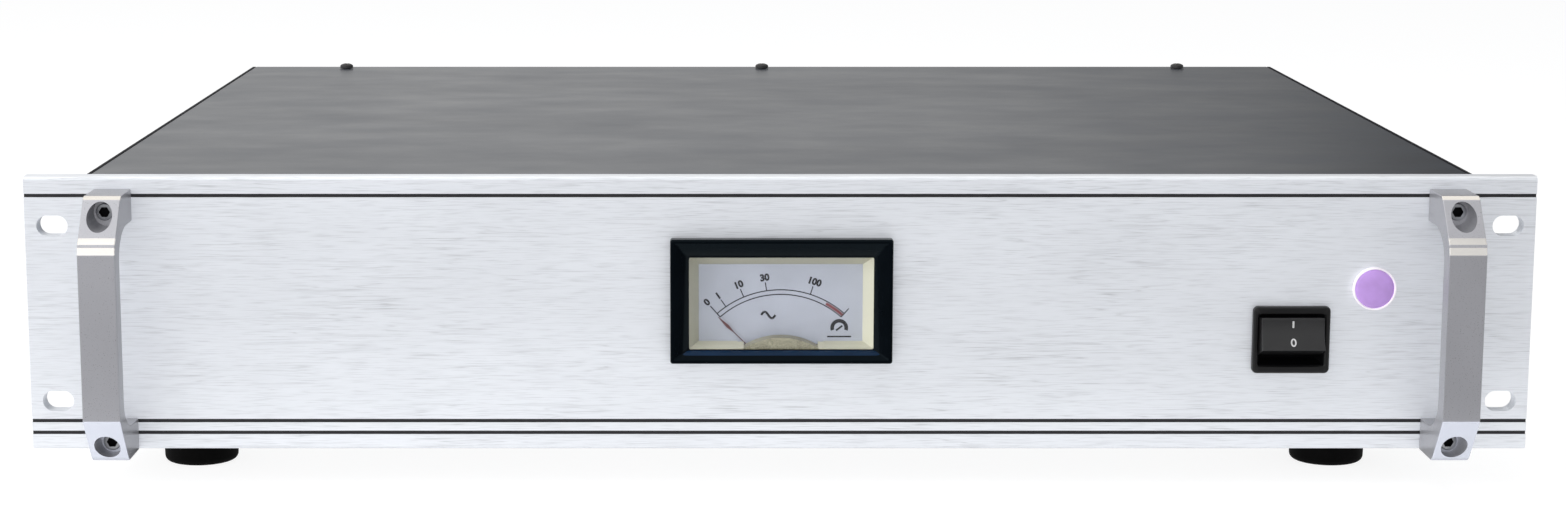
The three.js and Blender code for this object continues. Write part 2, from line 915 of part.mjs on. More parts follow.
// Feet: turned rubber with a recess for the screw
const footTopRadius = 12.5;
const footBottomRadius = 11.75;
const footEdge = 2;
const footSides = 16;
const footScrewEnd = 4;
const footRecessDepth = 5;
const leftFootInset = 29.5;
const rightFootInset = 38;
const footInset = 38;
const leftFootX = leftFootInset - coverWidth / 2;
const rightFootX = coverWidth / 2 - rightFootInset;
const footPlaces = [
  { name: "front_left", x: leftFootX, y: footInset },
  { name: "front_right", x: rightFootX, y: footInset },
  { name: "rear_left", x: leftFootX, y: bodyRear - footInset },
  { name: "rear_right", x: rightFootX, y: bodyRear - footInset },
];

function footGeometry() {
  const top = footHeight - gap;
  const hole = footScrew.shankRadius + gap;
  const recess = footScrew.headRadius + gap;
  return turned([
    [hole, footRecessDepth],
    [recess, footRecessDepth],
    [recess, 0],
    [footBottomRadius - footEdge, 0],
    [footBottomRadius - footEdge + footEdge * Math.SQRT1_2, footEdge - footEdge * Math.SQRT1_2],
    [footBottomRadius, footEdge],
    [footTopRadius, top],
    [hole, top],
    [hole, footRecessDepth],
  ], footSides).rotateX(Math.PI / 2);
}

const footShape = footGeometry();
const footScrewLength = footHeight - footRecessDepth + sheet + footScrewEnd;
const footScrewShape = panScrew(footScrew, footScrewLength).rotateX(Math.PI / 2);
for (const { name, x, y } of footPlaces) {
  add("foot_" + name, footShape, rubber, x, y);
  add("foot_screw_" + name, footScrewShape, screwSteel, x, y, footRecessDepth - gap);
}

// Sheet screws in the cover and the rear panel
const sheetScrewLength = 6;
const coverScrewSideInset = 42;
const coverScrewInset = 7;
const coverFlange = 20;
const sideScrewDrop = 12;
const rearFlange = 12;
const rearPanelThickness = 1.5;
const sheetScrewHole = sheetScrew.shankRadius + gap;
const coverScrewSpacing = coverWidth / 2 - coverScrewSideInset;
const coverScrewPlaces = [
  { name: "left", x: -coverScrewSpacing },
  { name: "middle", x: 0 },
  { name: "right", x: coverScrewSpacing },
];
const coverScrewY = bodyRear - coverScrewInset;
const sideScrewY = bodyRear - bodyDepth / 2;
const sideScrewZ = coverTop - sideScrewDrop;
const rearScrewZ = (floorTop + trayTop - coverFlange) / 2;

const topScrew = panScrew(sheetScrew, sheetScrewLength).rotateX(-Math.PI / 2);
for (const { name, x } of coverScrewPlaces) {
  add("cover_screw_rear_" + name, topScrew, screwSteel, x, coverScrewY, coverTop + gap);
}
for (const [side, sign] of [["left", -1], ["right", 1]]) {
  const sideScrew = panScrew(sheetScrew, sheetScrewLength).rotateZ((sign * Math.PI) / 2);
  const coverFace = sign * (coverWidth / 2 + gap);
  const trayFace = sign * (trayHalf + gap);
  add("cover_screw_side_" + side, sideScrew, screwSteel, coverFace, sideScrewY, sideScrewZ);
  add("rear_panel_screw_" + side, sideScrew, screwSteel, trayFace, coverScrewY, rearScrewZ);
}

// Top cover: a folded sheet with short side flanges
function topCover() {
  const folded = channel(coverWidth / 2, coverFlange, behindPanel, bodyRear)
    .rotateY(Math.PI)
    .translate(0, 0, coverTop);
  const topHoles = coverScrewPlaces.map(({ x }) =>
    rodZ(sheetScrewHole, coverTop - sheet - overrun, coverTop + overrun, x, coverScrewY),
  );
  const reach = coverWidth / 2 + overrun;
  return cut(folded, ...topHoles, rodX(sheetScrewHole, -reach, reach, sideScrewY, sideScrewZ));
}

add("top_cover", topCover(), blackPaint);

// Chassis tray: a folded sheet with a front wall and its flange, vent slots and foot holes
const ventCount = 12;
const ventWidth = 3;
const ventPitch = 9;
const ventHeight = 38;
const ventStartShare = 0.41;
const ventRise = 16;
const wallFlange = 12;
const ventStart = panelThickness + bodyDepth * ventStartShare;

function chassisTray() {
  const height = trayTop - footHeight;
  const folded = channel(trayHalf, height, behindPanel, bodyRear).translate(0, 0, footHeight);
  const half = trayInnerHalf + sheet / 2;
  const wall = box(-half, half, behindPanel, behindWall, footHeight + sheet / 2, trayTop);
  const flangeRear = behindPanel + wallFlange;
  const flange = box(-half, half, behindPanel, flangeRear, trayTop - sheet, trayTop);
  const reach = trayHalf + overrun;
  const ventBottom = floorTop + ventRise;
  const vents = [];
  for (let i = 0; i < ventCount; i++) {
    const y = ventStart + i * ventPitch;
    vents.push(box(-reach, reach, y, y + ventWidth, ventBottom, ventBottom + ventHeight));
  }
  const wallScrews = handleSides.flatMap(({ x }) =>
    handleScrewLevels.map(({ z }) => rodY(handleClearance, 0, behindWall + overrun, x, z)),
  );
  const footHoles = footPlaces.map(({ x, y }) =>
    rodZ(footScrew.shankRadius + gap, footHeight - overrun, floorTop + overrun, x, y),
  );
  const sideHoles = [
    rodX(sheetScrewHole, -reach, reach, sideScrewY, sideScrewZ),
    rodX(sheetScrewHole, -reach, reach, coverScrewY, rearScrewZ),
  ];
  const caseOpening = extrudeY(
    rectangle(caseWidth + 2 * gap, caseHeight + 2 * gap, meterX, caseMiddle),
    0,
    behindWall + overrun,
  );
  return cut(
    join(folded, wall, flange),
    ...vents,
    ...wallScrews,
    ...footHoles,
    ...sideHoles,
    caseOpening,
    ...panelOpenings(0, behindWall + overrun),
  );
}

add("chassis_tray", chassisTray(), zincSheet);

// Rear panel with two punched fan grilles and the openings for the connectors
const fanSize = 60;
const fanDepth = 25;
const fanRise = 6;
const leftFanShare = 0.28;
const rightFanShare = 0.1;
const fanZ = insideFloor + fanSize / 2 + fanRise;
const fanPlaces = [
  { name: "left", x: -coverWidth * leftFanShare },
  { name: "right", x: -coverWidth * rightFanShare },
];
const grilleInner = 6;
const grilleSlot = 5.2;
const grilleWeb = 2.4;
const grilleRings = 3;
const grilleSpokes = 4;
const grilleSegments = 2;
const rearRise = 44;
const outputShare = 0.425;
const inputShare = 0.07;
const groundShare = 0.27;
const inletShare = 0.385;
const rearLevel = panelBottom + rearRise;
const outputX = -coverWidth * outputShare;
const inputX = coverWidth * inputShare;
const groundX = coverWidth * groundShare;
const inletX = coverWidth * inletShare;
const outputHole = 8.2;
const inputHole = 5.4;
const inletBodyWidth = 27;
const inletBodyHeight = 20;
const groundStudRadius = 2;
const rearFace = bodyRear - rearPanelThickness;
const rearHalf = trayInnerHalf - gap;
const rearTop = trayTop;

function grilleSlots(x) {
  const slots = [];
  for (let ring = 0; ring < grilleRings; ring++) {
    const inner = grilleInner + ring * (grilleSlot + grilleWeb);
    const outer = inner + grilleSlot;
    const webAngle = grilleWeb / inner;
    for (let spoke = 0; spoke < grilleSpokes; spoke++) {
      const from = ((spoke + 0.5) * 2 * Math.PI) / grilleSpokes + webAngle / 2;
      const to = ((spoke + 1.5) * 2 * Math.PI) / grilleSpokes - webAngle / 2;
      slots.push(arcSlot(inner, outer, from, to, x, fanZ));
    }
  }
  return slots;
}

function rearPanel() {
  const outline = rectangle(2 * rearHalf, rearTop - insideFloor, 0, (rearTop + insideFloor) / 2);
  outline.holes.push(
    ...fanPlaces.flatMap(({ x }) => grilleSlots(x)),
    disc(outputHole, outputX, rearLevel),
    disc(inputHole, inputX, rearLevel),
    disc(groundStudRadius + gap, groundX, rearLevel),
    rectangle(inletBodyWidth + 2 * gap, inletBodyHeight + 2 * gap, inletX, rearLevel),
  );
  const plate = extrudeY(outline, rearFace, bodyRear, grilleSegments);
  const flangeFront = bodyRear - rearFlange;
  const topFlange = box(-rearHalf, rearHalf, flangeFront, bodyRear, rearTop - sheet, rearTop);
  const sideFlanges = [-1, 1].map((sign) => {
    const middle = sign * (rearHalf - sheet / 2);
    return box(middle - sheet / 2, middle + sheet / 2, flangeFront, bodyRear, insideFloor, rearTop);
  });
  const topHoles = coverScrewPlaces.map(({ x }) =>
    rodZ(sheetScrewHole, rearTop - sheet - overrun, rearTop + overrun, x, coverScrewY),
  );
  const reach = rearHalf + overrun;
  return cut(
    join(plate, topFlange, ...sideFlanges),
    ...topHoles,
    rodX(sheetScrewHole, -reach, reach, coverScrewY, rearScrewZ),
  );
}

add("rear_panel", rearPanel(), zincSheet);

// Fans: a square frame with struts to the motor base, and a bladed rotor on a spindle
const fanBore = 28.4;
const fanWall = 3.5;
const fanFlange = 3.2;
const motorRadius = 12;
const motorBase = 4;
const strutWidth = 3;
const strutCount = 3;
const rotorHubRadius = 11.5;
const rotorHubDepth = 17;
const rotorRunning = 0.8;
const bladeCount = 7;
const bladeTipGap = 1;
const bladeChord = 15;
const bladeSheet = 1.1;
const rootPitch = THREE.MathUtils.degToRad(48);
const tipPitch = THREE.MathUtils.degToRad(32);
const bladeSteps = 3;
const rotorSpindleRadius = 1.5;
const rotorSpindleLength = 3;
const fanFront = rearFace - gap - fanDepth;
const fanRear = rearFace - gap;
const motorFront = fanRear - motorBase;

function fanFrame() {
  const tube = rodY(fanBore + fanWall, fanFront, fanRear, 0, 0, roundSides);
  const half = fanSize / 2;
  const frontFlange = box(-half, half, fanFront, fanFront + fanFlange, -half, half);
  const rearPlate = box(-half, half, fanRear - fanFlange, fanRear, -half, half);
  const square = box(-half, half, fanFront, fanRear, -half, half);
  const shell = cut(
    join(common(tube, square), frontFlange, rearPlate),
    rodY(fanBore, fanFront - overrun, fanRear + overrun, 0, 0, roundSides),
  );
  const base = rodY(motorRadius, motorFront, fanRear, 0, 0, roundSides);
  const struts = [];
  for (let i = 0; i < strutCount; i++) {
    const end = fanBore + fanWall / 2;
    const strut = box(-strutWidth / 2, strutWidth / 2, motorFront, fanRear, motorRadius / 2, end);
    struts.push(strut.rotateY((i * 2 * Math.PI) / strutCount));
  }
  const bearing = rodY(
    rotorSpindleRadius + pinClearance,
    motorFront - overrun,
    motorFront + rotorSpindleLength + gap,
  );
  return cut(join(shell, base, ...struts), bearing);
}

function fanBlade() {
  const rings = [];
  const root = rotorHubRadius - bladeSheet;
  const tip = fanBore - bladeTipGap;
  for (let i = 0; i <= bladeSteps; i++) {
    const share = i / bladeSteps;
    const radius = root + (tip - root) * share;
    const pitch = rootPitch + (tipPitch - rootPitch) * share;
    const along = [Math.cos(pitch), Math.sin(pitch)];
    const across = [-along[1], along[0]];
    const ring = [[-1, -1], [1, -1], [1, 1], [-1, 1]].map(([u, v]) => [
      (u * along[0] * bladeChord + v * across[0] * bladeSheet) / 2,
      (u * along[1] * bladeChord + v * across[1] * bladeSheet) / 2,
      radius,
    ]);
    rings.push(ring);
  }
  return loft(rings);
}

function fanRotor() {
  const hubFront = motorFront - rotorRunning - rotorHubDepth;
  const hubRear = motorFront - rotorRunning;
  const hub = rodY(rotorHubRadius, hubFront, hubRear, 0, 0, roundSides);
  const spindle = rodY(rotorSpindleRadius, hubRear - overrun, motorFront + rotorSpindleLength);
  const blades = [];
  for (let i = 0; i < bladeCount; i++) {
    const blade = fanBlade().translate(0, (hubFront + hubRear) / 2, 0);
    blades.push(blade.rotateY((i * 2 * Math.PI) / bladeCount));
  }
  return join(hub, spindle, ...blades);
}

const frameShape = fanFrame();
const rotorShape = fanRotor();
for (const { name, x } of fanPlaces) {
  add("fan_frame_" + name, frameShape, fanBlack, x, 0, fanZ);
  add("fan_rotor_" + name, rotorShape, fanBlack, x, 0, fanZ);
}

// Rear connectors: turned shells with a socket, a square flange outside and a solder cup inside
const outputSize = {
  flange: 25.4,
  flangeThickness: 2.4,
  shell: 7.9,
  length: 17,
  bore: 4.3,
  boreDepth: 9,
  contact: 1.5,
  contactSink: 5.5,
  inner: 6,
  innerLength: 9,
  cup: 1.6,
  cupLength: 4,
  screw: 1.8,
  screwPitch: 18.3,
};
const inputSize = {
  flange: 17.5,
  flangeThickness: 2,
  shell: 4.8,
  length: 13,
  bore: 4.05,
  boreDepth: 9,
  contact: 1.1,
  contactSink: 5,
  inner: 4.6,
  innerLength: 7,
  cup: 1.2,
  cupLength: 4,
  screw: 1.4,
  screwPitch: 12.7,
};
const flangeScrewHead = 1.2;
const flangeScrewSides = 6;
const connectorSides = 20;
const flangeFace = bodyRear + gap;

function connectorGeometry(size) {
  const seat = flangeFace + size.flangeThickness;
  const mouth = seat + size.length;
  const inside = rearFace - size.innerLength;
  const shell = turned([
    [0, inside - size.cupLength],
    [size.cup, inside - size.cupLength],
    [size.cup, inside],
    [size.inner, inside],
    [size.inner, flangeFace],
    [size.shell, flangeFace],
    [size.shell, mouth],
    [size.bore, mouth],
    [size.bore, mouth - size.boreDepth],
    [size.contact, mouth - size.boreDepth],
    [size.contact, mouth - size.contactSink],
    [0, mouth - size.contactSink],
  ], connectorSides);
  const half = size.flange / 2;
  const flange = cut(
    box(-half, half, flangeFace, seat, -half, half),
    rodY(size.inner, flangeFace - overrun, seat + overrun, 0, 0, roundSides),
  );
  const heads = [-1, 1].flatMap((row) =>
    [-1, 1].map((column) =>
      rodY(
        size.screw,
        seat - gap,
        seat + flangeScrewHead,
        (column * size.screwPitch) / 2,
        (row * size.screwPitch) / 2,
        flangeScrewSides,
      ),
    ),
  );
  return join(shell, flange, ...heads);
}

add("rf_output_connector", connectorGeometry(outputSize), nickel, outputX, 0, rearLevel);
add("rf_input_connector", connectorGeometry(inputSize), nickel, inputX, 0, rearLevel);

// Mains inlet with its socket and three blades
const inletFlangeWidth = 31;
const inletFlangeHeight = 24;
const inletFlangeThickness = 3;
const inletFlangeRadius = 2;
const inletLength = 20;
const inletSocketWidth = 24.4;
const inletSocketHeight = 16.6;
const inletSocketDepth = 16.5;
const inletCorner = 4.5;
const inletBladeSpacing = 7;
const inletBladeThickness = 2;
const inletBladeHeight = 4;
const inletBladeLength = 14;
const inletEarthRise = 2;
const inletTabLength = 7;

function inletSocketOutline() {
  const half = inletSocketWidth / 2;
  const top = inletSocketHeight / 2;
  const shape = new THREE.Shape();
  shape.moveTo(-half, -top);
  shape.lineTo(half, -top);
  shape.lineTo(half, top - inletCorner);
  shape.lineTo(half - inletCorner, top);
  shape.lineTo(inletCorner - half, top);
  shape.lineTo(-half, top - inletCorner);
  return shape;
}

function mainsInlet() {
  const face = flangeFace + inletFlangeThickness;
  const flange = extrudeY(
    roundedRectangle(inletFlangeWidth, inletFlangeHeight, inletFlangeRadius),
    flangeFace,
    face,
    2,
  );
  const body = extrudeY(
    rectangle(inletBodyWidth, inletBodyHeight),
    face - inletLength,
    face - inletFlangeThickness / 2,
  );
  const socket = extrudeY(inletSocketOutline(), face - inletSocketDepth, face + overrun);
  const blades = [-1, 0, 1].flatMap((place) => {
    const x = place * inletBladeSpacing;
    const z = place === 0 ? inletEarthRise : -inletEarthRise;
    const half = inletBladeThickness / 2;
    const rise = inletBladeHeight / 2;
    const floor = face - inletSocketDepth;
    const back = face - inletLength;
    return [
      box(x - half, x + half, floor - overrun / 2, floor + inletBladeLength, z - rise, z + rise),
      box(x - half / 2, x + half / 2, back - inletTabLength, back + overrun / 2, z - rise, z + rise),
    ];
  });
  return join(cut(join(flange, body), socket), ...blades);
}

add("mains_inlet", mainsInlet(), blackPlastic, inletX, 0, rearLevel);

// Ground post: a stud with a round thumb nut
const groundLength = 14;
const groundInside = 8;
const groundNutRadius = 4.5;
const groundNutLength = 7;
const groundWasherRadius = 5.5;
const groundWasher = 1;

add(
  "ground_post",
  turned(
    [
      [0, rearFace - groundInside],
      [groundStudRadius, rearFace - groundInside],
      [groundStudRadius, flangeFace],
      [groundWasherRadius, flangeFace],
      [groundWasherRadius, flangeFace + groundWasher],
      [groundNutRadius, flangeFace + groundWasher],
      [groundNutRadius, flangeFace + groundWasher + groundNutLength],
      [groundStudRadius, flangeFace + groundWasher + groundNutLength],
      [groundStudRadius, flangeFace + groundLength],
      [0, flangeFace + groundLength],
    ],
    smallSides,
  ),
  nickel,
  groundX,
  0,
  rearLevel,
);

// Heatsink: an extrusion with its fins down, in the draught of the fans
const sinkLeftShare = 0.39;
const sinkWidthShare = 0.426;
const sinkFrontShare = 0.395;
const fanAir = 6;
const sinkBase = 8;
const finHeight = 22;
const finThickness = 2;
const finCount = 18;
const sinkLeft = -coverWidth * sinkLeftShare;
const sinkWidth = coverWidth * sinkWidthShare;
const sinkFront = bodyDepth * sinkFrontShare;
const sinkRear = fanFront - fanAir;
const sinkTop = insideFloor + finHeight + sinkBase;

function heatsinkProfile() {
  const right = sinkLeft + sinkWidth;
  const root = insideFloor + finHeight;
  const pitch = (sinkWidth - finThickness) / (finCount - 1);
  const shape = new THREE.Shape();
  shape.moveTo(right, sinkTop);
  shape.lineTo(sinkLeft, sinkTop);
  for (let i = 0; i < finCount; i++) {
    const x = sinkLeft + i * pitch;
    if (i > 0) shape.lineTo(x, root);
    shape.lineTo(x, insideFloor);
    shape.lineTo(x + finThickness, insideFloor);
    if (i + 1 < finCount) shape.lineTo(x + finThickness, root);
  }
  return shape;
}

add("heatsink", extrudeY(heatsinkProfile(), sinkFront, sinkRear), heatsinkBlack);

// Amplifier board with windows for the transistors, and what stands on it
const boardThickness = 1.6;
const boardMargin = 5;
const boardLengthShare = 0.52;
const boardLength = (sinkRear - sinkFront) * boardLengthShare;
const boardWidth = sinkWidth - 2 * boardMargin;
const transistorWidth = 34;
const transistorLength = 10;
const transistorBase = 1.6;
const transistorLidWidth = 20;
const transistorLidHeight = 5;
const boardX = sinkLeft + sinkWidth / 2;
const boardY = sinkFront + boardMargin + boardLength / 2;
const boardZ = sinkTop + gap;
const boardTop = boardZ + boardThickness;
const transistorXs = [boardX - boardWidth / 6, boardX + boardWidth / 6];
const coreOffsetShare = 0.29;
const coreWidth = 16;
const coreLength = 22;
const coreHeight = 14;
const coreOffset = boardLength * coreOffsetShare;
const capRadius = 5;
const capHeight = 12;
const capSpacing = 14;
const capCount = 3;
const padWidth = 10;
const padHeight = 5;

function amplifierBoard() {
  const outline = rectangle(boardWidth, boardLength, boardX, boardY);
  const extrusion = { depth: boardThickness, bevelEnabled: false };
  const slab = new THREE.ExtrudeGeometry(outline, extrusion).translate(0, 0, boardZ);
  const windows = transistorXs.map((x) =>
    box(
      x - transistorWidth / 2 - gap,
      x + transistorWidth / 2 + gap,
      boardY - transistorLength / 2 - gap,
      boardY + transistorLength / 2 + gap,
      boardZ - overrun,
      boardTop + overrun,
    ),
  );
  const sink = boardThickness / 2;
  const cores = transistorXs.flatMap((x) =>
    [-coreOffset, coreOffset].map((offset) =>
      box(
        x - coreWidth / 2,
        x + coreWidth / 2,
        boardY + offset - coreLength / 2,
        boardY + offset + coreLength / 2,
        boardTop - sink,
        boardTop + coreHeight,
      ),
    ),
  );
  const capacitors = [];
  for (let i = 0; i < capCount; i++) {
    const y = boardY + (i - 1) * capSpacing;
    capacitors.push(rodZ(capRadius, boardTop - sink, boardTop + capHeight, boardX, y));
  }
  const right = boardX + boardWidth / 2;
  const half = padWidth / 2;
  const pads = [boardY - boardLength / 3, boardY + boardLength / 3].map((y) =>
    box(right - padWidth, right, y - half, y + half, boardTop - sink, boardTop + padHeight),
  );
  return join(cut(slab, ...windows), ...cores, ...capacitors, ...pads);
}

function transistor() {
  const half = transistorWidth / 2;
  const depth = transistorLength / 2;
  const lid = transistorLidWidth / 2;
  return join(
    box(-half, half, -depth, depth, 0, transistorBase),
    box(-lid, lid, -depth, depth, transistorBase / 2, transistorLidHeight),
  );
}

add("amplifier_board", amplifierBoard(), boardGreen);
transistorXs.forEach((x, i) => {
  add("power_transistor_" + (i + 1), transistor(), oliveMetal, x, boardY, boardZ);
});

// Output filter in a screened can behind the board
const canWidth = 110;
const canRearMargin = 13;
const canHeight = 26;
const canLip = 1.5;
const canSide = sinkLeft + boardMargin;
const canFront = sinkFront + boardMargin + boardLength + boardMargin;
const canRear = sinkRear - canRearMargin;
const canLidHeight = 6;

function filterCan() {
  const right = canSide + canWidth;
  const top = boardZ + canHeight;
  const can = box(
    canSide + canLip,
    right - canLip,
    canFront + canLip,
    canRear - canLip,
    boardZ,
    top - canLip,
  );
  return join(can, box(canSide, right, canFront, canRear, top - canLidHeight, top));
}

add("output_filter_can", filterCan(), zincSheet);

// Enclosed power supply: a case with vent slots and a stepped terminal block in front
const supplyInset = 14;
const supplyWidth = 114;
const supplyHeight = 32;
const supplyFront = 98;
const supplyRearSpace = 43;
const supplyStep = 18;
const supplyStepHeight = 9;
const supplyVents = 9;
const supplyVentWidth = 3;
const supplyVentDepth = 2;
const supplyVentMargin = 16;
const supplyVentPitch = 9;
const supplyVentStart = 40;
const terminalCount = 7;
const terminalPitch = 14;
const terminalBarrier = 1.6;
const terminalBlockHeight = 12;
const supplyX = coverWidth / 2 - supplyInset - supplyWidth / 2;
const supplyRear = bodyRear - supplyRearSpace;

function powerSupply() {
  const left = supplyX - supplyWidth / 2;
  const right = supplyX + supplyWidth / 2;
  const top = insideFloor + supplyHeight;
  const body = box(left, right, supplyFront, supplyRear, insideFloor, top);
  const step = box(
    left - overrun,
    right + overrun,
    supplyFront - overrun,
    supplyFront + supplyStep,
    insideFloor + supplyStepHeight,
    top + overrun,
  );
  const ventLeft = left + supplyVentMargin;
  const ventRight = right - supplyVentMargin;
  const ventFloor = top - supplyVentDepth;
  const vents = [];
  for (let i = 0; i < supplyVents; i++) {
    const y = supplyFront + supplyVentStart + i * supplyVentPitch;
    vents.push(box(ventLeft, ventRight, y, y + supplyVentWidth, ventFloor, top + overrun));
  }
  const barriers = [];
  for (let i = 0; i <= terminalCount; i++) {
    const x = supplyX + (i - terminalCount / 2) * terminalPitch;
    barriers.push(
      box(
        x - terminalBarrier / 2,
        x + terminalBarrier / 2,
        supplyFront + overrun / 2,
        supplyFront + supplyStep + overrun / 2,
        insideFloor + supplyStepHeight / 2,
        insideFloor + supplyStepHeight + terminalBlockHeight,
      ),
    );
  }
  return join(cut(body, step, ...vents), ...barriers);
}

add("power_supply", powerSupply(), zincSheet);

// Meter driver board on four posts
const driverShare = 0.2;
const driverX = -coverWidth * driverShare;
const driverY = 74;
const driverWidth = 60;
const driverLength = 46;
const postRadius = 3;
const driverPost = 8;
const driverPostInset = 5;
const chipWidth = 12;
const chipHeight = 3;

function driverBoard() {
  const bottom = insideFloor + driverPost;
  const top = bottom + boardThickness;
  const side = driverWidth / 2;
  const end = driverLength / 2;
  const slab = box(-side, side, -end, end, bottom, top);
  const posts = [-1, 1].flatMap((row) =>
    [-1, 1].map((column) =>
      rodZ(
        postRadius,
        insideFloor,
        bottom + boardThickness / 2,
        column * (side - driverPostInset),
        row * (end - driverPostInset),
        8,
      ),
    ),
  );
  const sink = top - boardThickness / 2;
  const half = chipWidth / 2;
  const chips = [-chipWidth, chipWidth].map((x) =>
    box(x - half, x + half, -half, half, sink, top + chipHeight),
  );
  const header = box(side - padWidth, side, -padWidth / 2, padWidth / 2, sink, top + padHeight);
  return join(slab, ...posts, ...chips, header);
}

add("meter_driver_board", driverBoard(), boardGreen, driverX, driverY);

// Inner leads: round tubes along smooth routes, each end just off the terminal that holds it
const coaxRadius = 2.5;
const wireRadius = 1.6;
const thinRadius = 1.1;
const leadStep = 17;

function lead(points, radius) {
  const path = new THREE.CatmullRomCurve3(
    points.map(([x, y, z]) => new THREE.Vector3(x, y, z)),
    false,
    "centripetal",
  );
  const section = new THREE.Shape();
  for (let i = 0; i < leadSides; i++) {
    const angle = (i * 2 * Math.PI) / leadSides;
    const point = [radius * Math.cos(angle), radius * Math.sin(angle)];
    if (i === 0) section.moveTo(...point);
    else section.lineTo(...point);
  }
  const steps = Math.ceil(path.getLength() / leadStep);
  return new THREE.ExtrudeGeometry(section, { extrudePath: path, steps, bevelEnabled: false });
}

const boardRight = boardX + boardWidth / 2;
const outputCup = rearFace - outputSize.innerLength - outputSize.cupLength - gap;
const inputCup = rearFace - inputSize.innerLength - inputSize.cupLength - gap;
const canExitY = (canFront + canRear) / 2;
const canExitZ = boardZ + (canHeight - canLidHeight) / 2;
const coaxBend = 10;
const inputPadY = boardY + boardLength / 3;
const supplyPadY = boardY - boardLength / 3;
const padZ = boardTop + padHeight / 2;
const supplyTerminalZ = insideFloor + supplyStepHeight + wireRadius + 2 * gap;
const supplyTerminal = (i) => supplyX + (i - (terminalCount - 1) / 2) * terminalPitch;
const supplyEntry = supplyFront + supplyStep - gap;

// The last stretch of a lead into a terminal of the power supply
function intoSupply(i) {
  return [
    [supplyTerminal(i), supplyFront - 2 * coaxBend, supplyTerminalZ],
    [supplyTerminal(i), supplyFront - coaxBend / 2, supplyTerminalZ],
    [supplyTerminal(i), supplyEntry, supplyTerminalZ],
  ];
}

const inletTabs = flangeFace + inletFlangeThickness - inletLength - inletTabLength;
const bladeEnd = switchDepth + bladeLength + gap;
const upperBlade = switchZ + bladeSpacing / 2;
const lowerBlade = switchZ - bladeSpacing / 2;
const lampPinEnd = lampBarrelLength + lampPinLength + gap;
const meterStudEnd = caseRear + terminalLength + gap;
const driverHeaderZ = insideFloor + driverPost + boardThickness + padHeight / 2;
const aboveSupply = insideFloor + supplyHeight + wireRadius + gap;
const wiringFront = 62;

add(
  "output_coax",
  lead(
    [
      [canSide + canLip - gap, canExitY, canExitZ],
      [canSide + canLip - coaxBend, canExitY, canExitZ],
      [outputX, canExitY + coaxBend, (canExitZ + rearLevel) / 2],
      [outputX, outputCup - coaxBend, rearLevel],
      [outputX, outputCup, rearLevel],
    ],
    coaxRadius,
  ),
  coaxBlack,
);
add(
  "input_coax",
  lead(
    [
      [inputX, inputCup, rearLevel],
      [inputX, inputCup - coaxBend, rearLevel],
      [inputX, (inputCup + inputPadY) / 2, (rearLevel + padZ) / 2],
      [inputX, inputPadY + coaxBend, padZ],
      [boardRight + coaxBend, inputPadY, padZ],
      [boardRight + gap, inputPadY, padZ],
    ],
    coaxRadius,
  ),
  coaxBlack,
);
add(
  "supply_output_lead",
  lead(
    [
      ...intoSupply(0).reverse(),
      [(supplyTerminal(0) + boardRight) / 2, supplyFront - coaxBend, (supplyTerminalZ + padZ) / 2],
      [boardRight + coaxBend, supplyPadY, padZ],
      [boardRight + gap, supplyPadY, padZ],
    ],
    wireRadius,
  ),
  wireRed,
);
add(
  "inlet_to_switch_lead",
  lead(
    [
      [inletX + inletBladeSpacing, inletTabs - gap, rearLevel - inletEarthRise],
      [inletX + inletBladeSpacing, inletTabs - coaxBend, rearLevel - inletEarthRise],
      [inletX + inletBladeSpacing, (supplyFront + supplyRear) / 2, aboveSupply],
      [switchX + bladeSpacing / 2, bladeEnd + coaxBend, upperBlade],
      [switchX + bladeSpacing / 2, bladeEnd, upperBlade],
    ],
    wireRadius,
  ),
  coaxBlack,
);
add(
  "switch_to_supply_lead",
  lead(
    [
      [switchX - bladeSpacing / 2, bladeEnd, lowerBlade],
      [switchX - bladeSpacing / 2, wiringFront - coaxBend, lowerBlade],
      ...intoSupply(3),
    ],
    wireRadius,
  ),
  wireBlue,
);
add(
  "lamp_lead",
  lead(
    [
      [lampX + lampPinSpacing / 2, lampPinEnd, lampZ],
      [lampX + lampPinSpacing / 2, lampPinEnd + coaxBend, lampZ],
      ...intoSupply(5),
    ],
    thinRadius,
  ),
  wireRed,
);
add(
  "meter_lead",
  lead(
    [
      [meterX - terminalSpacing / 2, meterStudEnd, caseMiddle],
      [meterX - terminalSpacing / 2, meterStudEnd + coaxBend, caseMiddle],
      [driverX + driverWidth / 2 + 2 * coaxBend, driverY, driverHeaderZ],
      [driverX + driverWidth / 2 + gap, driverY, driverHeaderZ],
    ],
    thinRadius,
  ),
  wireRed,
);

// The group's origin lies midway between the handles' front and the longest connector's end
const frontmost = -gap - handleProjection;
const rearmost = flangeFace + outputSize.flangeThickness + outputSize.length;
amplifier.position.y = -(frontmost + rearmost) / 2;

const part = new THREE.Group();
part.add(amplifier);

export default part;
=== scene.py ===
# Rack power amplifier: the looks of every piece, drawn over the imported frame.
# Lengths are millimetres until a piece is made. X runs right, Z up, and Y runs rearward from the
# front face of the panel.

import json
from math import asin, cos, degrees, pi, radians, sin, sqrt

import bmesh
import bpy
from mathutils import Matrix, Vector


